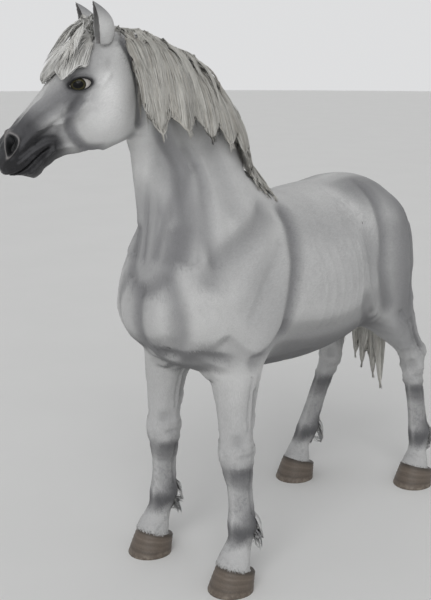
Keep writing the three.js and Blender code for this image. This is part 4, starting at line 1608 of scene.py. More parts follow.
def min_distance(points: Array, targets: Sequence[Array]) -> Array:
    """Returns each point's distance to the nearest target."""
    return np.min([np.linalg.norm(points - target, axis=1) for target in targets], axis=0)


# ---- surface that hair stands on


@dataclass
class Root:
    """Places on the skin where hair grows, with what the skin shows there."""

    points: Array
    facing: Array
    spots: Array
    marking_and_painted_shade: Array
    pattern: Array


class Ground:
    """The finished skin as the ground for hair."""

    def __init__(self, skin: Piece) -> None:
        """Reads the skin and unwraps a light copy of it for the bake map.

        Args:
            skin: the finished skin.
        """
        self.points = positions(skin)
        self.facing = normals(skin)
        self.faces = triangles(skin)
        self.tree = BVHTree.FromPolygons(self.points.tolist(), self.faces.tolist())
        self.over = self.tree
        self.colours = {}
        for name in ("marking_and_painted_shade", "pattern"):
            self.colours[name] = read(skin.data.color_attributes[name].data, "color", 4).astype(float)
        self.unwrap(skin)

    def unwrap(self, skin: Piece) -> None:
        """Unwraps a thinned copy of the skin in its own shape.

        Args:
            skin: the finished skin.
        """
        chart = new_object("chart", skin.data.copy())
        modify(chart, "DECIMATE", ratio=CHART_FACES / len(self.faces), use_collapse_triangulate=True)
        with editing(chart):
            bpy.ops.uv.smart_project(angle_limit=math.radians(66), island_margin=0.004)
        self.chart_points, self.chart_faces = positions(chart), triangles(chart)
        corners = read(chart.data.loop_triangles, "loops", 3, np.int32)
        self.chart_spots = read(chart.data.uv_layers.active.data, "uv", 2)[corners]
        self.chart_tree = BVHTree.FromPolygons(self.chart_points.tolist(), self.chart_faces.tolist())
        bpy.data.objects.remove(chart)

    def cover(self, bodies: Sequence[Piece]) -> None:
        """Lets long hair lie on the bodies of hair as well as on the skin.

        Args:
            bodies: the bodies.
        """
        points, faces, count = [self.points], [self.faces], len(self.points)
        for body in bodies:
            points.append(positions(body))
            faces.append(triangles(body) + count)
            count += len(points[-1])
        self.over = BVHTree.FromPolygons(np.concatenate(points).tolist(), np.concatenate(faces).tolist())

    def spots(self, points: Array) -> Array:
        """Reads the bake map at the nearest face of the unwrapped copy.

        Args:
            points: positions near the skin.

        Returns:
            The map's place for each point.
        """
        found = [self.chart_tree.find_nearest(Vector(p)) for p in points]
        index = np.array([hit[2] for hit in found])
        place_on = np.array([hit[0] for hit in found])
        share = barycentric(place_on, *self.chart_points[self.chart_faces[index]].transpose(1, 0, 2))
        return (self.chart_spots[index] * share[..., None]).sum(1)

    def nearest(self, point: Array) -> tuple[Array, Array, float]:
        """Finds the skin under a point.

        Args:
            point: a position.

        Returns:
            The nearest point of skin or hair, the normal there, and the height over it, negative below.
        """
        at, facing, _, _ = self.over.find_nearest(Vector(point))
        at, facing = np.array(at), np.array(facing)
        return at, facing, float((point - at) @ facing)

    def lift(self, points: Array, height: Array) -> Array:
        """Raises points that lie lower than a height over the skin.

        Args:
            points: positions, (count, 3).
            height: least height for each.

        Returns:
            The raised positions.
        """
        out = points.copy()
        for number, (point, least) in enumerate(zip(points, height)):
            at, facing, _, gap = self.over.find_nearest(Vector(point))
            if gap > 0.06:
                continue
            over = (point[0] - at.x) * facing.x + (point[1] - at.y) * facing.y + (point[2] - at.z) * facing.z
            if over < least:
                out[number] = point + np.array(facing) * (least - over)
        return out

    def roots(self, index: Array, place_on: Array) -> Root:
        """Reads the skin at places on it.

        Args:
            index: the face of each place.
            place_on: the places.

        Returns:
            The roots.
        """
        corner = self.faces[index]
        share = barycentric(place_on, *self.points[corner].transpose(1, 0, 2))[..., None]
        facing = unit((self.facing[corner] * share).sum(1))
        marking_and_painted_shade, pattern = ((self.colours[name][corner] * share).sum(1) for name in ("marking_and_painted_shade", "pattern"))
        return Root(place_on, facing, self.spots(place_on), marking_and_painted_shade, pattern)

    def scatter(self, count: int, density: Array, rng: Random) -> Root:
        """Chooses places at random.

        Args:
            count: how many.
            density: relative density at each vertex of the skin.
            rng: random numbers.

        Returns:
            The roots.
        """
        return self.roots(*sprinkle(self.points, self.faces, density[self.faces].mean(1), count, rng))


def barycentric(points: Array, a: Array, b: Array, c: Array) -> Array:
    """Finds where points lie in triangles.

    Args:
        points: one point for each triangle.
        a: first corner of each triangle.
        b: second corner.
        c: third corner.

    Returns:
        The shares of the corners, (count, 3).
    """
    u, v, w = b - a, c - a, points - a
    uu, uv, vv = (u * u).sum(1), (u * v).sum(1), (v * v).sum(1)
    wu, wv = (w * u).sum(1), (w * v).sum(1)
    scale = np.maximum(uu * vv - uv * uv, 1e-18)
    second, third = (vv * wu - uv * wv) / scale, (uu * wv - uv * wu) / scale
    share = np.clip(np.column_stack((1 - second - third, second, third)), 0, 1)
    return share / share.sum(1, keepdims=True)


# ---- strands and tufts


@dataclass
class Strands:
    """Solid hairs of three sides that taper to a point.

    centres holds each hair's middle line, (count, rings, 3), and lifts the outward direction at each ring.
    """

    centres: Array
    lifts: Array
    widths: Array
    colours: dict[str, Array]  # four values for each ring, or for each hair
    spots: Array
    thickness: float = 0.55
    flat: float = 0.0  # how far the shading follows the skin instead of the hair's own sides

    def section(self) -> tuple[Array, Array, Array]:
        """Lays the hairs' walls.

        Returns:
            All corners, (count, corners, 3), their outward normals, and the triangles of one hair.
        """
        tangent = np.gradient(self.centres, axis=1)
        side = unit(np.cross(tangent, self.lifts))
        out = unit(np.cross(side, tangent))
        half = self.widths[..., None] / 2
        ways = (side - out * 0.4, -side - out * 0.4, out)
        shifts = (side * half, -side * half, out * (half * 2 * self.thickness))
        count, rings = self.centres.shape[:2]
        corners = np.stack([self.centres + shift for shift in shifts], axis=2)[:, :-1].reshape(count, -1, 3)
        facing = np.stack([unit(way) for way in ways], axis=2)[:, :-1].reshape(count, -1, 3)
        corners = np.concatenate((corners, self.centres[:, -1:]), axis=1)
        facing = np.concatenate((facing, out[:, -1:]), axis=1)
        faces = [(0, 1, 2)]
        for ring in range(rings - 2):
            base = ring * 3
            for a, b in ((0, 1), (1, 2), (2, 0)):
                faces += [(base + a, base + b + 3, base + b), (base + a, base + a + 3, base + b + 3)]
        last, tip = (rings - 2) * 3, (rings - 1) * 3
        faces += [(last + a, tip, last + b) for a, b in ((0, 1), (1, 2), (2, 0))]
        return corners, facing, np.array(faces)

    def pieces(self, name: str) -> list[Piece]:
        """Builds the hairs as one or more pieces under the face limit.

        Args:
            name: name of the first piece.

        Returns:
            The pieces.
        """
        corners, facing, faces = self.section()
        count, per = corners.shape[:2]
        a, b, c = (corners[0][faces[:, k]] - corners[0].mean(0) for k in range(3))
        if (np.cross(a, b) * c).sum() < 0:
            faces = faces[:, ::-1]
        rings = (per - 1) // 3
        ring = np.append(np.repeat(np.arange(rings), 3), rings)
        local = np.column_stack((ring / rings - 0.5, np.append(np.tile(np.arange(3) / 3, rings), 0.3) - 0.3))
        made = []
        shares = math.ceil(count * len(faces) / FACES_PER_PIECE)
        for number, chosen in enumerate(np.array_split(np.arange(count), shares)):
            all_faces = (faces[None] + (np.arange(len(chosen)) * per)[:, None, None]).reshape(-1, 3)
            title = name if number == 0 else f"{name}_{number + 1}"
            piece = mesh_piece(title, corners[chosen].reshape(-1, 3), all_faces)
            map_spots(piece, (self.spots[chosen][:, None] + local * BAKE_PATCH).reshape(-1, 2))
            self.dress(piece, chosen, ring, facing)
            made.append(piece)
        return made

    def dress(self, piece: Piece, chosen: Array, ring: Array, facing: Array) -> None:
        """Stores the colours, and the shading direction where the hairs lie flat.

        Args:
            piece: piece to dress.
            chosen: numbers of its hairs.
            ring: ring of each corner of a hair.
            facing: outward directions of all corners.
        """
        for name, values in self.colours.items():
            shown = values[chosen][:, ring] if values.ndim == 3 else np.repeat(values[chosen][:, None], len(ring), 1)
            paint(piece, name, shown.reshape(-1, 4))
        if self.flat:
            shown = unit(self.lifts[chosen][:, ring] * self.flat + facing[chosen] * (1 - self.flat))
            piece.data.normals_split_custom_set_from_vertices(shown.reshape(-1, 3).tolist())


@dataclass
class Lock:
    """One lock of long hair: its guide line, the outward direction along it, and its size."""

    path: Array
    lifts: Array
    wide: float
    deep: float
    root_wide: float
    strands: int
    colour: Colour
    tip: float = 0.16  # share of its width left at the tip
    clumps: int = 5


@dataclass
class HairPart:
    """A part of the horse that is made of hair on the ground of its skin."""

    ground: Ground
    material: Finish

    def hand_in(self, strands: Strands, name: str, slot: str = "long_hair") -> None:
        """Builds the strands' pieces and hands them to the frame."""
        for piece in strands.pieces(name):
            finish_piece(piece, self.material, slot)


@dataclass
class LongHair(HairPart):
    """Locks of long hair made of solid strands."""

    name: str
    rings: int
    width: float
    seed: int
    wave: float = 0.004
    lift_least: float = 0.0012
    thickness: float = 0.45
    flat: float = 0.15

    def build(self, locks: Sequence[Lock]) -> None:
        """Grows the strands of all locks.

        Args:
            locks: locks to fill.
        """
        rng = np.random.default_rng(self.seed)
        thin = 1.0
        centres, lifts, widths, colours = [], [], [], []
        for lock in locks:
            count = max(int(lock.strands * thin), 6)
            length = rng.uniform(0.74, 1.0, count)
            clump = rng.integers(0, lock.clumps, count)
            clump_at = rng.uniform(-1, 1, (lock.clumps, 2))
            clump_long = rng.uniform(0.82, 1.0, lock.clumps)
            t = np.linspace(0, 1, self.rings)[None] * (length * clump_long[clump])[:, None]
            path = along_path(np.repeat(lock.path[None], count, 0), t)
            out = unit(along_path(np.repeat(lock.lifts[None], count, 0), t))
            tangent = np.gradient(path, axis=1)
            side = unit(np.cross(tangent, out))
            near = ease(0.0, 0.28, t)
            shape = lock.tip + (1 - lock.tip) * np.clip((1 - t) / 0.45, 0, 1) ** 0.8
            own = rng.normal(0, 1, (count, 2)) * 0.30
            gather = ease(0.15, 0.9, t)
            across = clump_at[clump, 0][:, None] * 0.8 + own[:, :1] * (1.1 - 0.75 * gather)
            depth = np.abs(clump_at[clump, 1])[:, None] * 0.6 + np.abs(own[:, 1:]) * (1.1 - 0.6 * gather)
            root = rng.uniform(-1, 1, count)[:, None] * lock.root_wide
            sway = self.wave * np.sin(t * 7.0 + rng.uniform(0, 6.28, lock.clumps)[clump][:, None]) * near
            frizz = rng.normal(0, 0.0009, (count, 1)) * np.sin(t * 15 + rng.uniform(0, 6.28, (count, 1)))
            sideways = root * (1 - near) + (lock.wide * across * shape) * near + sway + frizz
            height = lock.deep * depth * shape * near + 0.0008
            centres.append(path + side * sideways[..., None] + out * height[..., None])
            lifts.append(out)
            taper = np.clip(1.15 - t / (length * clump_long[clump])[:, None], 0, 1) ** 0.45
            widths.append(self.width * rng.uniform(0.7, 1.25, (count, 1)) * np.clip(taper, 0.06, 1))
            # Painted shade: each strand is darker near its root; it also darkens a little towards its tip.
            shade = rng.normal(1.0, 0.07, (count, 1)) * (0.80 + 0.20 * ease(0.0, 0.16, t))
            shade = shade * (1 - 0.10 * ease(0.6, 1.0, t))
            colours.append(np.array((*lock.colour, 1.0)) * np.clip(shade, 0.4, 1.25)[..., None])
        centre = np.concatenate(centres)
        least = np.full(centre.shape[:2], self.lift_least)
        least[:, 0] = -0.003
        centre = self.ground.lift(centre.reshape(-1, 3), least.ravel()).reshape(centre.shape)
        spots = self.ground.spots(centre[:, 0])
        colour = {"strand": np.concatenate(colours)}
        grown = Strands(centre, np.concatenate(lifts), np.concatenate(widths), colour, spots, self.thickness, self.flat)
        self.hand_in(grown, self.name)


def hang(
    ground: Ground, start: Array, heading: Array, length: float, height: float, fall: float,
    drift: Array | float = 0.0, steps: int = 12,
) -> tuple[Array, Array]:
    """Lets a guide line run over the skin and down.

    Args:
        ground: the skin.
        start: where it starts.
        heading: which way it leaves.
        length: its length.
        height: its height over the skin.
        fall: how fast it turns down at each step.
        drift: what is added to its direction at each step.
        steps: number of steps.

    Returns:
        The line, (steps + 1, 3), and the outward directions along it.
    """
    at, facing, _ = ground.nearest(start)
    path, lifts = [at + facing * height * 0.3], [facing]
    going = unit(heading)
    for step in range(steps):
        going = unit(going - UP * fall + drift)
        point = path[-1] + going * length / steps
        at, facing, over = ground.nearest(point)
        least = height * min(1.0, 0.3 + 0.25 * step)
        if over < least:
            point = at + facing * least
        going = unit(point - path[-1])
        out = facing - going * (facing @ going)
        path.append(point)
        lifts.append(unit(0.5 * lifts[-1] + 0.5 * unit(out)))
    return np.array(path), np.array(lifts)


PITCH = (0.02, 0.02, 0.02)


class Tint(Enum):
    """The lighter and the darker colour of each part's long hair."""

    MANE = ((0.53, 0.52, 0.485), (0.44, 0.42, 0.38))
    FORELOCK = ((0.74, 0.735, 0.71), (0.64, 0.63, 0.60))
    TAIL = ((0.66, 0.65, 0.61), (0.55, 0.53, 0.48))

    def pick(self, light_share: float, rng: Random) -> Colour:
        """Returns one of the two by chance."""
        return self.value[0 if rng.random() < light_share else 1]


@dataclass
class HairBody(HairPart):
    """The dense inner body of long hair, a little inside its outline, so that no gap shows between the strands."""

    node: str
    inset: float = 0.004

    def build(self) -> Piece:
        """Makes the body from the solid of the same name.

        Returns:
            The body.
        """
        body = node_copy(self.node, self.node + "_body")
        modify(body, "SUBSURF", levels=1)
        bpy.ops.object.shade_smooth()
        points = positions(body) - normals(body) * self.inset
        place(body, points)
        # The body takes the darker tint, dimmed further as painted shade deep in the hair.
        base = np.array(Tint[self.node.upper()].value[1]) * 0.85
        paint(body, "strand", np.tile((*base, 1.0), (len(points), 1)))
        map_spots(body, self.ground.spots(points))
        finish_piece(body, self.material, "long_hair", self.node)
        return body


@dataclass
class Cover(HairPart):
    """Strands that lie on a body of hair and run along it, past its edges, the way its locks run."""

    name: str
    count: int
    length: float
    width: float
    seed: int
    tint: Tint
    rings: int = 10
    steps: int = 24
    thickness: float = 0.3
    flat: float = 0.40

    def starts(self, points: Array, faces: Array, rng: Random) -> Array:
        """Chooses places on the sides of the body that don't lie against the skin.

        Args:
            points: vertex positions of the body.
            faces: its triangles.
            rng: random numbers.

        Returns:
            The places, in random order.
        """
        a, b, c = points[faces].transpose(1, 0, 2)
        out = unit(np.cross(b - a, c - a))
        free = np.ones(len(faces))
        for number, middle in enumerate((a + b + c) / 3):
            _, facing, _, gap = self.ground.tree.find_nearest(Vector(middle))
            if gap < 0.035 and np.array(facing) @ out[number] < -0.25:
                free[number] = 0.03
        count = self.count // 1
        return rng.permutation(sprinkle(points, faces, free, count, rng)[1])

    def build(self, body: Piece, locks: Sequence[Lock]) -> None:
        """Makes the strands.

        Args:
            body: body of hair that they cover.
            locks: locks whose direction they take.
        """
        rng = np.random.default_rng(self.seed)
        points, faces = positions(body), triangles(body)
        tree = BVHTree.FromPolygons(points.tolist(), faces.tolist())
        guide = np.concatenate([lock.path for lock in locks])
        ways = np.concatenate([unit(np.gradient(lock.path, axis=0)) for lock in locks])
        owner = np.repeat(np.arange(len(locks)), [len(lock.path) for lock in locks])
        finder = KDTree(len(guide))
        for number, point in enumerate(guide):
            finder.insert(point, number)
        finder.balance()
        ways = [Vector(way) for way in ways]
        starts = self.starts(points, faces, rng)
        heights = rng.uniform(0.0012, 0.0048, len(starts))
        reach = self.length * rng.uniform(0.7, 1.15, len(starts)) / self.steps
        paths, lifts, ends, owners = [], [], [], []
        for start, height, step in zip(starts, heights, reach):
            point = Vector(start)
            _, facing, _, _ = tree.find_nearest(point)
            path, lift, free, end, going = [point - facing * 0.002], [facing.copy()], 0, self.steps, None
            owners.append(owner[finder.find(point)[1]])
            for number in range(self.steps):
                if not free:
                    way = sum((ways[found[1]] for found in finder.find_n(point, 3)), Vector())
                    way = (way - facing * way.dot(facing)).normalized()
                    going = way if going is None else (going + way * 0.6).normalized()
                point = point + going * step
                at, found, _, gap = tree.find_nearest(point)
                rise = height * min(1.0, 0.25 + number * 0.25)
                if free or gap > rise + 0.006:
                    free += 1
                    going = (going - Vector((0, 0, 0.03))).normalized()
                else:
                    facing = found
                    point = at + facing * rise
                path.append(point.copy())
                lift.append(facing.copy())
                if free * step > 0.020:
                    end = number + 1
                    break
            path += [path[-1]] * (self.steps + 1 - len(path))
            lift += [lift[-1]] * (self.steps + 1 - len(lift))
            paths.append(path)
            lifts.append(lift)
            ends.append(end)
        share = np.linspace(0, 1, self.rings)[None] * (np.array(ends) / self.steps)[:, None]
        centre = along_path(np.array(paths), share)
        out = unit(along_path(np.array(lifts), share))
        count, t = len(centre), np.linspace(0, 1, self.rings)[None]
        keep = np.array(ends) > 3
        frizz = rng.normal(0, 0.0012, (count, 1)) * np.sin(t * 9 + rng.uniform(0, 6.28, (count, 1))) * t
        centre = centre + np.cross(unit(np.gradient(centre, axis=1)), out) * frizz[..., None]
        width = self.width * rng.uniform(0.6, 1.2, (count, 1)) * np.clip(1.1 - t**2.5, 0.05, 1)
        width = width * (0.6 + 0.4 * ease(0, 0.1, t))
        tone = rng.uniform(0.80, 1.06, len(locks))[owners][:, None] * rng.normal(1.0, 0.08, (count, 1))
        light, dark = self.tint.value
        tint = np.where(rng.random((count, 1, 1)) < 0.70, (*light, 1.0), (*dark, 1.0))
        # Painted shade: each strand is a little darker near its start.
        shade = tint * np.clip(tone * (0.86 + 0.14 * ease(0, 0.3, t)), 0.4, 1.2)[..., None]
        spots = self.ground.spots(centre[keep][:, 0])
        laid = Strands(centre[keep], out[keep], width[keep], {"strand": shade[keep]}, spots, self.thickness, self.flat)
        self.hand_in(laid, self.name)


@dataclass
class HairMass(HairPart):
    """Mane, forelock or tail: locks, and strands that cover the inner body."""

    body: Piece

    def fill(self, locks: Sequence[Lock], cover: dict[str, object], strands: dict[str, object]) -> None:
        """Covers the body and grows the locks.

        Args:
            locks: the locks.
            cover: fields of the cover.
            strands: fields of the long hair.
        """
        Cover(self.ground, self.material, **cover).build(self.body, locks)
        LongHair(self.ground, self.material, **strands).build(locks)


@dataclass
class Mane(HairMass):
    """The mane, parted to the left, in pointed locks that shorten towards the withers."""

    locks: int = 9
    guides: int = 6
    longest: float = 0.490
    shortest: float = 0.135
    root: float = 0.030

    CREST = table(
        "-139 -728 2092 | -121 -585 2066 | -97 -447 1976 | -76 -356 1888 | -54 -300 1786 | -26 -250 1668 |"
        "-4 -208 1572 | 0 -160 1505"
    )

    def all_locks(self) -> list[Lock]:
        """Lays out the locks over the neck's left side.

        Returns:
            The locks.
        """
        rng = np.random.default_rng(11)
        crest = catmull(self.CREST, 12)
        steps = np.linalg.norm(np.diff(crest, axis=0), axis=1)
        run = np.concatenate(([0], np.cumsum(steps)))
        run /= run[-1]
        locks = []
        count = self.locks * self.guides
        for number in range(count):
            share = np.clip((number + 0.5 + rng.uniform(-0.3, 0.3)) / count, 0, 1)
            at = np.array([np.interp(share, run, column) for column in crest.T]) + ORIGIN
            turn = HEAD.turn * (1 - share)
            left = np.array((math.cos(turn), -math.sin(turn), 0.0))
            nearest = (math.floor(share * self.locks) + 0.5) / self.locks
            reach = 1 - 0.30 * abs(share - nearest) * 2 * self.locks
            length = self.longest + (self.shortest - self.longest) * share**0.95
            length *= reach * rng.uniform(0.92, 1.04)
            pull = np.array([np.interp(nearest, run, column) for column in crest.T]) + ORIGIN - at
            start = at - left * (self.root + rng.uniform(-0.004, 0.012)) + UP * 0.035
            path, lifts = hang(self.ground, start, left, length, 0.003, 0.30)
            grow = ease(0.35, 1.0, np.linspace(0, 1, len(path)))[:, None]
            tint = Tint.MANE.pick(0.75, rng)
            path = path + pull * 0.55 * grow
            locks.append(Lock(path, lifts, wide=0.017, deep=0.005, root_wide=0.014, strands=52, colour=tint))
        return locks

    def build(self) -> None:
        """Makes the mane's strands."""
        cover = {"name": "mane_cover", "count": 3000, "length": 0.200, "width": 0.0032, "seed": 41, "tint": Tint.MANE}
        self.fill(self.all_locks(), cover, {"name": "mane_strands", "rings": 10, "width": 0.0027, "seed": 21})


@dataclass
class Forelock(HairMass):
    """The forelock, which falls from between the ears over the forehead."""

    columns: int = 13
    length: float = 0.262

    def all_locks(self) -> list[Lock]:
        """Lays out the locks.

        Returns:
            The locks.
        """
        rng = np.random.default_rng(12)
        along, _, left = HEAD.axes()
        locks = []
        for layer in range(2):
            for column in range(self.columns):
                across = 2 * (column + 0.5) / self.columns - 1 + rng.uniform(-0.06, 0.06)
                start = HEAD.point(0.022, 0.085, across * 0.026)
                heading = along + left * across * 0.08
                length = self.length - 0.035 * across * across - 0.062 * max(across, 0) ** 2
                length *= rng.uniform(0.86, 1.04)
                height, drift = 0.003 + 0.007 * layer, left * across * 0.085
                path, lifts = hang(self.ground, start, heading, length, height, 0.045, drift)
                tint = Tint.FORELOCK.pick(0.75, rng)
                locks.append(Lock(path, lifts, wide=0.013, deep=0.006, root_wide=0.006, strands=40, colour=tint))
        return locks

    def build(self) -> None:
        """Makes the forelock's strands."""
        cover = {"name": "forelock_cover", "count": 900, "length": 0.130, "width": 0.0028, "seed": 42}
        strands = {"name": "forelock_strands", "rings": 10, "width": 0.0024, "seed": 22}
        self.fill(self.all_locks(), cover | {"tint": Tint.FORELOCK}, strands)


@dataclass
class Tail(HairMass):
    """The tail: long locks from the dock that end in separate points."""

    TIPS = table("-205 780 630 | -148 800 545 | -95 778 515 | -45 805 465 | 14 780 430 | -75 760 610")
    wide: float = 0.064
    deep: float = 0.046
    guides: int = 9

    def spine(self, tip: Sequence[float]) -> Array:
        """Draws the middle line of a lock.

        Args:
            tip: where it ends.

        Returns:
            The points of the line.
        """
        x, y, z = tip
        rows = (
            (0, 0.640, 1.392), (x * 0.05, 0.712, 1.362), (x * 0.15 - 0.004, 0.762, 1.260),
            (x * 0.36 - 0.014, 0.772, 1.060), (x * 0.66 - 0.014, 0.772, 0.840), (x, y, z),
        )
        return catmull(np.array(rows), 6) + ORIGIN

    def all_locks(self) -> list[Lock]:
        """Lays out thin locks round each main lock's middle line.

        Returns:
            The locks.
        """
        rng = np.random.default_rng(13)
        locks = []
        for tip in self.TIPS:
            spine = self.spine(tip)
            share = np.linspace(0, 1, len(spine))
            taper = np.clip(1.06 - share**3, 0.04, 1)[:, None]
            for number in range(self.guides):
                angle = 2 * math.pi * (number + rng.uniform(0, 0.8)) / self.guides
                out = np.array((math.cos(angle), math.sin(angle), 0.0))
                offset = np.array((math.cos(angle) * self.wide, math.sin(angle) * self.deep, 0.0)) * 0.62
                grow = ease(0.0, 0.22, share)[:, None]
                path = spine + offset * taper * (0.35 + 0.65 * grow)
                start = int(rng.integers(0, 7))
                stop = len(path) - int(rng.integers(0, 4))
                path = catmull(path[start:stop:2], 2)
                tint = Tint.TAIL.pick(0.65, rng)
                lifts = np.repeat(out[None], len(path), 0)
                locks.append(Lock(path, lifts, 0.017, 0.008, 0.010, strands=42, colour=tint, tip=0.10, clumps=4))
        return locks

    def build(self) -> None:
        """Makes the tail's strands."""
        cover = {"name": "tail_cover", "count": 2300, "length": 0.300, "width": 0.0034, "seed": 43, "tint": Tint.TAIL}
        strands = {"name": "tail_strands", "rings": 13, "width": 0.0028, "seed": 23, "wave": 0.005}
        self.fill(self.all_locks(), cover, strands)


@dataclass
class Feathers(HairPart):
    """The long hair behind each fetlock, and the fringe round each coronet."""

    tufts: int = 16
    fringe: int = 420
    heights: Point = (0.200, 0.300)
    lengths: Point = (0.080, 0.120)

    def feathers(self) -> list[Lock]:
        """Lays out pointed tufts that hang behind the fetlocks.

        Returns:
            The locks.
        """
        rng = np.random.default_rng(14)
        locks = []
        for leg in LEGS:
            line = LEG_LINES[leg]
            for _ in range(self.tufts):
                angle = math.radians(rng.uniform(-58, 58))
                z = rng.uniform(*self.heights)
                cx, cy, rear = line.centre(np.array([z]))
                out = np.array((math.sin(angle), math.cos(angle), 0.0))
                start, _, _ = self.ground.nearest(ORIGIN + np.array((cx[0], cy[0], z)) + out * rear[0])
                length = rng.uniform(*self.lengths) * (0.45 + 0.55 * math.cos(angle))
                t = np.linspace(0, 1, 9)[:, None]
                behind = np.array((0, 0.16, 0)) + out * rng.uniform(0.02, 0.16)
                path = start + (behind - UP) * length * t + out * (0.007 * np.sin(t * math.pi * 0.8))
                tint = (Shade.SMOKE, Shade.SNOW, Shade.CHALK)[int(rng.choice(3, p=(0.25, 0.45, 0.30)))].value
                lifts = np.repeat(out[None], 9, 0)
                locks.append(Lock(path, lifts, 0.012, 0.008, 0.012, strands=52, colour=tint, tip=0.08, clumps=4))
        return locks

    def coronets(self) -> Strands:
        """Lays the short fringe over the top edge of each hoof.

        Returns:
            The hairs.
        """
        rng = np.random.default_rng(15)
        starts, outs = [], []
        for leg in LEGS:
            angles = rng.uniform(0, 2 * math.pi, self.fringe)
            ring = Hoof(leg).row(1.0, angles)
            middle = ring.mean(0)
            out = unit((ring - middle) * (1, 1, 0))
            starts.append(ring + LEG_LINES[leg].hoof + UP * rng.uniform(0.004, 0.013, (self.fringe, 1)))
            outs.append(out)
        start, out = np.concatenate(starts), np.concatenate(outs)
        base = np.array([self.ground.nearest(point)[0] for point in start])
        length = rng.uniform(0.005, 0.013, len(base))[:, None, None]
        t = np.linspace(0, 1, 4)[None, :, None]
        sway = np.cross(out, UP) * rng.normal(0, 0.12, (len(base), 1))
        bow = out[:, None] * (0.0022 * np.sin(t * 2.4))
        centre = base[:, None] + (out * 0.20 + sway - UP)[:, None] * length * t + bow
        width = 0.0023 * np.array((0.9, 1.0, 0.7, 0.1))[None] * rng.uniform(0.7, 1.2, (len(base), 1))
        tone = rng.choice((0.50, 0.80, 1.05), (len(base), 1), p=(0.25, 0.40, 0.35))
        shade = {"strand": np.array((*Shade.SNOW.value, 1.0)) * tone}
        lifts = np.repeat(out[:, None], 4, 1)
        return Strands(centre, lifts, width, shade, self.ground.spots(base), thickness=0.3, flat=0.6)

    def build(self) -> None:
        """Makes the feathers and fringes of all four legs."""
        hair = LongHair(self.ground, self.material, "fetlock_feathers", 8, 0.0021, seed=24, wave=0.002, flat=0.0)
        hair.build(self.feathers())
        self.hand_in(self.coronets(), "coronet_fringe")


@dataclass
class Lashes(HairPart):
    """Dark lashes along both upper lids."""

    count: int = 64
    lengths: Point = (0.009, 0.015)
    width: float = 0.0008

    def build(self) -> None:
        """Makes the lashes."""
        rng = np.random.default_rng(16)
        paths, lifts = [], []
        for side in (1, -1):
            eye = EyeOpening(side)
            length, height, gaze = eye.axes()
            for u in np.linspace(-0.80, 0.72, self.count):
                edge = eye.high * (1 - (u / eye.wide) ** 2) ** 0.72 * 1.06
                root = unit(np.array((u, edge, math.sqrt(max(1 - u * u - edge * edge, 0.02))))) * 1.10
                going = unit(gaze * 0.9 + height * rng.uniform(-0.1, 0.35) + length * (u * 0.5 + rng.normal(0, 0.1)))
                reach = rng.uniform(*self.lengths)
                t = np.linspace(0, 1, 5)[:, None]
                paths.append(eye.world(root) + going * reach * t - UP * 0.005 * t**2)
                lifts.append(np.repeat(height[None], 5, 0))
        width = self.width * np.linspace(1, 0.1, 5)[None].repeat(len(paths), 0)
        shade = np.tile((*PITCH, 1.0), (len(paths), 1))
        path = np.array(paths)
        spots = self.ground.spots(path[:, 0])
        self.hand_in(Strands(path, np.array(lifts), width, {"strand": shade}, spots), "eyelashes")


def hair_flow(spot: Anatomy) -> Array:
    """Returns the direction in which the coat lies at each point.

    Args:
        spot: measured points of the skin.

    Returns:
        Unit directions along the skin.
    """
    _, y, z = spot.p.T
    flow = np.tile((0.0, 1.0, -0.28), (len(z), 1))

    def turn(direction: Sequence[float], share: Array) -> None:
        """Turns the flow towards a direction by a share for each point."""
        flow[:] = flow + (np.array(direction) - flow) * share[:, None]

    turn((0.0, 0.55, -0.90), spot.in_neck)
    turn((0.0, 0.25, -1.0), ease(-0.45, -0.68, y) * (1 - spot.in_head) * ease(1.7, 1.4, z))
    turn((0.0, 0.45, -0.95), ease(0.30, 0.52, y) * ease(1.45, 1.15, z))
    turn((0.0, 0.12, -1.0), spot.in_leg)
    turn(tuple(HEAD.axes()[0]), spot.in_head)
    flow -= spot.n * (flow * spot.n).sum(1, keepdims=True)
    return unit(flow)


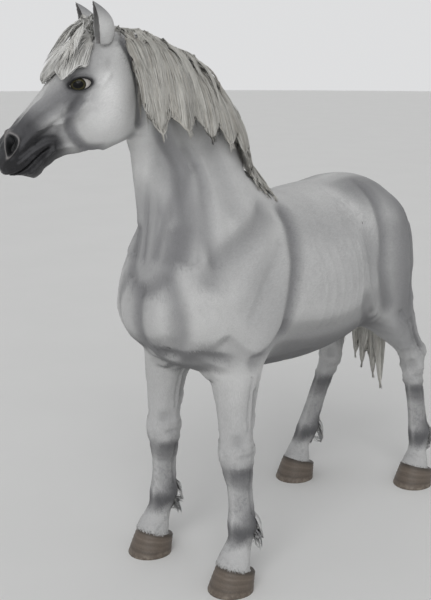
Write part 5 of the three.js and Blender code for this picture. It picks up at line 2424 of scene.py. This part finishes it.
@dataclass
class Coat(HairPart):
    """Short flat tufts over the skin, longer where the coat breaks the body's outline."""

    count: int = 46_000
    seed: int = 31
    thickness: float = 0.07
    flat: float = 0.93

    def length(self, spot: Anatomy) -> Array:
        """Works out the length of the tufts.

        Args:
            spot: measured points of the skin.

        Returns:
            The length at each point, in metres.
        """
        _, y, z = spot.p.T
        length = np.full(len(z), 0.015)
        length += 0.006 * ease(-0.3, -0.9, spot.n[:, 2]) * (1 - spot.in_head) * (1 - spot.in_leg)
        length += 0.005 * ease(-0.55, -0.72, y) * (1 - spot.in_head) * ease(1.5, 1.2, z)
        length += 0.008 * spot.in_leg * ease(0.02, 0.05, spot.leg_y) * ease(0.80, 0.60, z)
        length *= 1 - 0.22 * spot.in_leg
        length *= 1 - 0.55 * spot.in_head * ease(0.02, 0.12, spot.head[:, 0])
        length *= 1 - 0.45 * spot.in_head * ease(0.36, 0.50, spot.head[:, 0])
        length *= 1 - 0.72 * ease(2.05, 2.085, z) * (y < -0.70)
        return length

    def build(self) -> None:
        """Scatters the tufts and dresses them like the skin."""
        ground, rng = self.ground, np.random.default_rng(self.seed)
        spot = Anatomy(ground.points, ground.facing)
        bare = ground.colours["pattern"][:, 1]
        density = (1.0 + 1.6 * spot.in_head + 0.8 * spot.in_leg) * (1 - 0.95 * bare)
        density *= 1 - 0.88 * ease(2.05, 2.085, spot.p[:, 2]) * (spot.p[:, 1] < -0.70)
        density *= 1 - (min_distance(ground.points, [EyeOpening(s).middle for s in (1, -1)]) < 0.058)
        count = self.count // 1
        root = ground.scatter(count, density, rng)
        here = Anatomy(root.points, root.facing)
        flow = hair_flow(here)
        side = np.cross(root.facing, flow)
        flow = unit(flow + side * rng.normal(0, 0.12, (count, 1)))
        length = self.length(here) * rng.uniform(0.75, 1.2, count)
        t = np.array((0.0, 0.45, 1.0))[None, :, None]
        rise = 0.0001 + self.raise_of(here) * (0.03 + 0.97 * rng.random(count) ** 14)
        bow = np.array((-0.0007, 0.0001, 0.0))[None, :, None] + t * rise[:, None, None]
        centre = root.points[:, None] + flow[:, None] * length[:, None, None] * t
        centre[:, 0] += root.facing * bow[:, 0]
        for ring in (1, 2):
            for number, point in enumerate(centre[:, ring]):
                at, facing, _, _ = ground.tree.find_nearest(Vector(point))
                centre[number, ring] = at + facing * float(bow[number, ring, 0])
        width = (0.0022 + 0.10 * length)[:, None] * np.array((0.7, 1.0, 0.10))[None]
        lifts = np.repeat(root.facing[:, None], 3, 1)
        # The tufts take the skin's markings with their painted shade.
        colours = {"marking_and_painted_shade": root.marking_and_painted_shade, "pattern": root.pattern}
        laid = Strands(centre, lifts, width, colours, root.spots, self.thickness, self.flat)
        self.hand_in(laid, "coat_tufts", "coat")

    def raise_of(self, spot: Anatomy) -> Array:
        """Returns how far the tips stand off the skin at each point, in metres."""
        return 0.0014 - 0.0011 * spot.in_head


# ---- eyes and hooves


@dataclass
class Eye:
    """An eyeball with a bulging cornea."""

    side: int

    def build(self, material: Finish) -> None:
        """Makes the eyeball and the map that faces its gaze.

        Args:
            material: finish of the eye.
        """
        opening = EyeOpening(self.side)
        name = "left" if self.side > 0 else "right"
        ball = primitive(f"eyeball_{name}", "uv_sphere", segments=64, ring_count=40, radius=1.0)
        points = positions(ball)
        look = np.array((0.22, 0.03))
        away = np.hypot(points[:, 0] - look[0], points[:, 1] - look[1])
        cornea = np.clip(1 - (away / 0.75) ** 2, 0, 1) * (points[:, 2] > 0)
        place(ball, opening.world(points * (0.985 * (1 + 0.05 * cornea))[:, None]))
        with editing(ball):
            bpy.ops.mesh.normals_make_consistent(inside=False)
        bpy.ops.object.shade_smooth()
        behind = np.where(points[:, 2:] < 0, 4.0, 1.0)
        map_spots(ball, (points[:, :2] - look) * behind, "gaze")
        finish_piece(ball, material, "eye", f"eye_{name}")


@dataclass
class Hoof:
    """A hoof with growth rings, heel bulbs and a hollow sole."""

    leg: str
    around: int = 72
    levels: int = 20
    # Rings inside the rim of sole and top: share of its size, and height.
    SOLE = ((0.05, 0.007), (0.55, 0.006), (0.84, 0.0035), (0.90, 0.0))
    TOP = ((0.975, 0.0025), (0.90, 0.004), (0.5, 0.004))

    def outline(self, angles: Array, share: Array | float) -> tuple[Array, Array]:
        """Draws the shape of the sole.

        Args:
            angles: directions, from the toe round.
            share: share of the full size.

        Returns:
            x and y in each direction.
        """
        ahead = np.cos(angles)
        heel = np.where(ahead > 0, 0.0, ahead * ahead)
        reach = HOOF_LENGTH * np.where(ahead > 0, 0.53, 0.47)
        x = np.sin(angles) * HOOF_WIDTH * 0.5 * (1 - 0.22 * heel) * share
        return x, -ahead * reach * (1 - 0.12 * heel) * share

    def row(self, share: float, angles: Array) -> Array:
        """Draws the ring of the wall at one height.

        Args:
            share: share of the wall's height.
            angles: directions, from the toe round.

        Returns:
            The points of the ring.
        """
        x, y = self.outline(angles, 1 - 0.17 * share**0.9)
        y = y + 0.030 * share
        z = share * (HOOF_HEIGHT - CORONET_SLOPE * (y + HOOF_LENGTH * 0.36))
        ripple = 0.0007 * math.sin(share * 34) * ease(0.03, 0.2, share) - 0.0010
        behind = np.abs(angles - math.pi)
        cleft = -0.010 * np.exp(-((behind / 0.13) ** 2)) * (0.35 + 0.65 * share)
        bulb = 0.0030 * np.exp(-(((behind - 0.42) / 0.20) ** 2)) * ease(0.35, 0.8, share)
        grow = 1 + (ripple + cleft + bulb) / np.hypot(x, y)
        return np.column_stack((x * grow, (y - 0.030 * share) * grow + 0.030 * share, z))

    def build(self, material: Finish) -> None:
        """Makes the hoof.

        Args:
            material: finish of the horn.
        """
        line = LEG_LINES[self.leg]
        angles = np.linspace(0, 2 * math.pi, self.around, endpoint=False)
        rows = [self.row(0.0, angles) * (size, size, 1) + UP * z for size, z in self.SOLE]
        rows += [self.row(share, angles) for share in np.linspace(0, 1, self.levels)]
        top = rows[-1]
        middle = top.mean(0)
        rows += [middle + (top - middle) * size + UP * z for size, z in self.TOP]
        piece = tube(f"hoof_wall_{self.leg}", np.array(rows) + line.hoof)
        at = positions(piece) - line.hoof
        growth = at[:, 2] / (HOOF_HEIGHT - CORONET_SLOPE * (at[:, 1] + HOOF_LENGTH * 0.36))
        paint(piece, "growth", np.column_stack((growth, growth, growth, np.ones(len(growth)))))
        finish_piece(piece, material, "horn", f"hoof_{self.leg}")


# ---- room


@dataclass
class Studio:
    """Pale floor, soft lamps and the camera."""

    eye: Place = (2.4960, -3.1213, 2.0318)
    heading: float = math.radians(42.32)
    pitch: float = math.radians(14.5)
    lens: float = 60.0
    film: float = 36.0
    horizon: float = 0.74
    zenith: float = 0.46
    sun: float = 1.05
    sun_angle: float = math.radians(48)
    fill: float = 8.0

    def floor(self) -> None:
        """Lays the floor."""
        floor = primitive("floor", "circle", vertices=96, radius=40.0, fill_type="NGON")
        floor.data.materials.append(FloorFinish().build())

    def lamp(self, kind: str, at: Sequence[float], energy: float, size: float) -> None:
        """Hangs a soft lamp that points at the horse's middle.

        Args:
            kind: SUN or AREA.
            at: its place.
            energy: its strength.
            size: angle of the sun, or side of the square lamp.
        """
        light = bpy.data.lights.new(kind.lower() + "_lamp", kind)
        light.energy = energy
        if kind == "SUN":
            light.angle = size
        else:
            light.size = size
        lamp = new_object(light.name, light)
        lamp.location = at
        lamp.rotation_euler = (Vector((0, 0, 1.1)) - Vector(at)).to_track_quat("-Z", "Y").to_euler()

    def sky(self) -> bpy.types.World:
        """Makes a pale sky, brightest near the horizon.

        Returns:
            The world.
        """
        g = Graph("sky", "worlds", "Background")
        level = g.add("SeparateXYZ", {0: g.coordinates["Generated"]}).outputs["Z"]
        strength = g.ramp(level, 0.10, 0.60, self.horizon, self.zenith)
        g.set(g.shader, {"Color": (0.985, 0.99, 1.0, 1), "Strength": strength})
        return g.owner

    def build(self) -> None:
        """Sets the floor, the lamps, the sky and the camera."""
        self.floor()
        self.lamp("SUN", (2.3, -3.6, 4.4), self.sun, self.sun_angle)
        self.lamp("AREA", (1.6, -4.4, 3.4), self.fill, 1.0)
        bpy.context.scene.world = self.sky()
        bpy.context.scene.view_settings.view_transform = "Standard"
        camera = bpy.data.cameras.new("camera")
        camera.lens, camera.sensor_fit, camera.sensor_height = self.lens, "VERTICAL", self.film
        holder = new_object("camera", camera)
        holder.location = ORIGIN + np.array(self.eye)
        holder.rotation_euler = (math.pi / 2 - self.pitch, 0, self.heading)
        bpy.context.scene.camera = holder


# ---- build


def main() -> None:
    """Builds the horse part by part."""
    logging.basicConfig(level=logging.INFO, format="%(relativeCreated)6d ms %(message)s")
    coat, hair = CoatFinish().build(), HairFinish().build()
    horn, wet = HornFinish().build(), EyeFinish().build()
    Studio().build()
    skin = Skin(coat).build()
    for side in (1, -1):
        Eye(side).build(wet)
    for leg in LEGS:
        Hoof(leg).build(horn)
    ground = Ground(skin)
    bodies = [HairBody(ground, hair, node).build() for node in ("mane", "forelock", "tail")]
    ground.cover(bodies)
    for part, body in zip((Mane, Forelock, Tail), bodies):
        part(ground, hair, body).build()
    Feathers(ground, hair).build()
    Lashes(ground, hair).build()
    Coat(ground, coat).build()


if __name__ == "__main__":
    main()
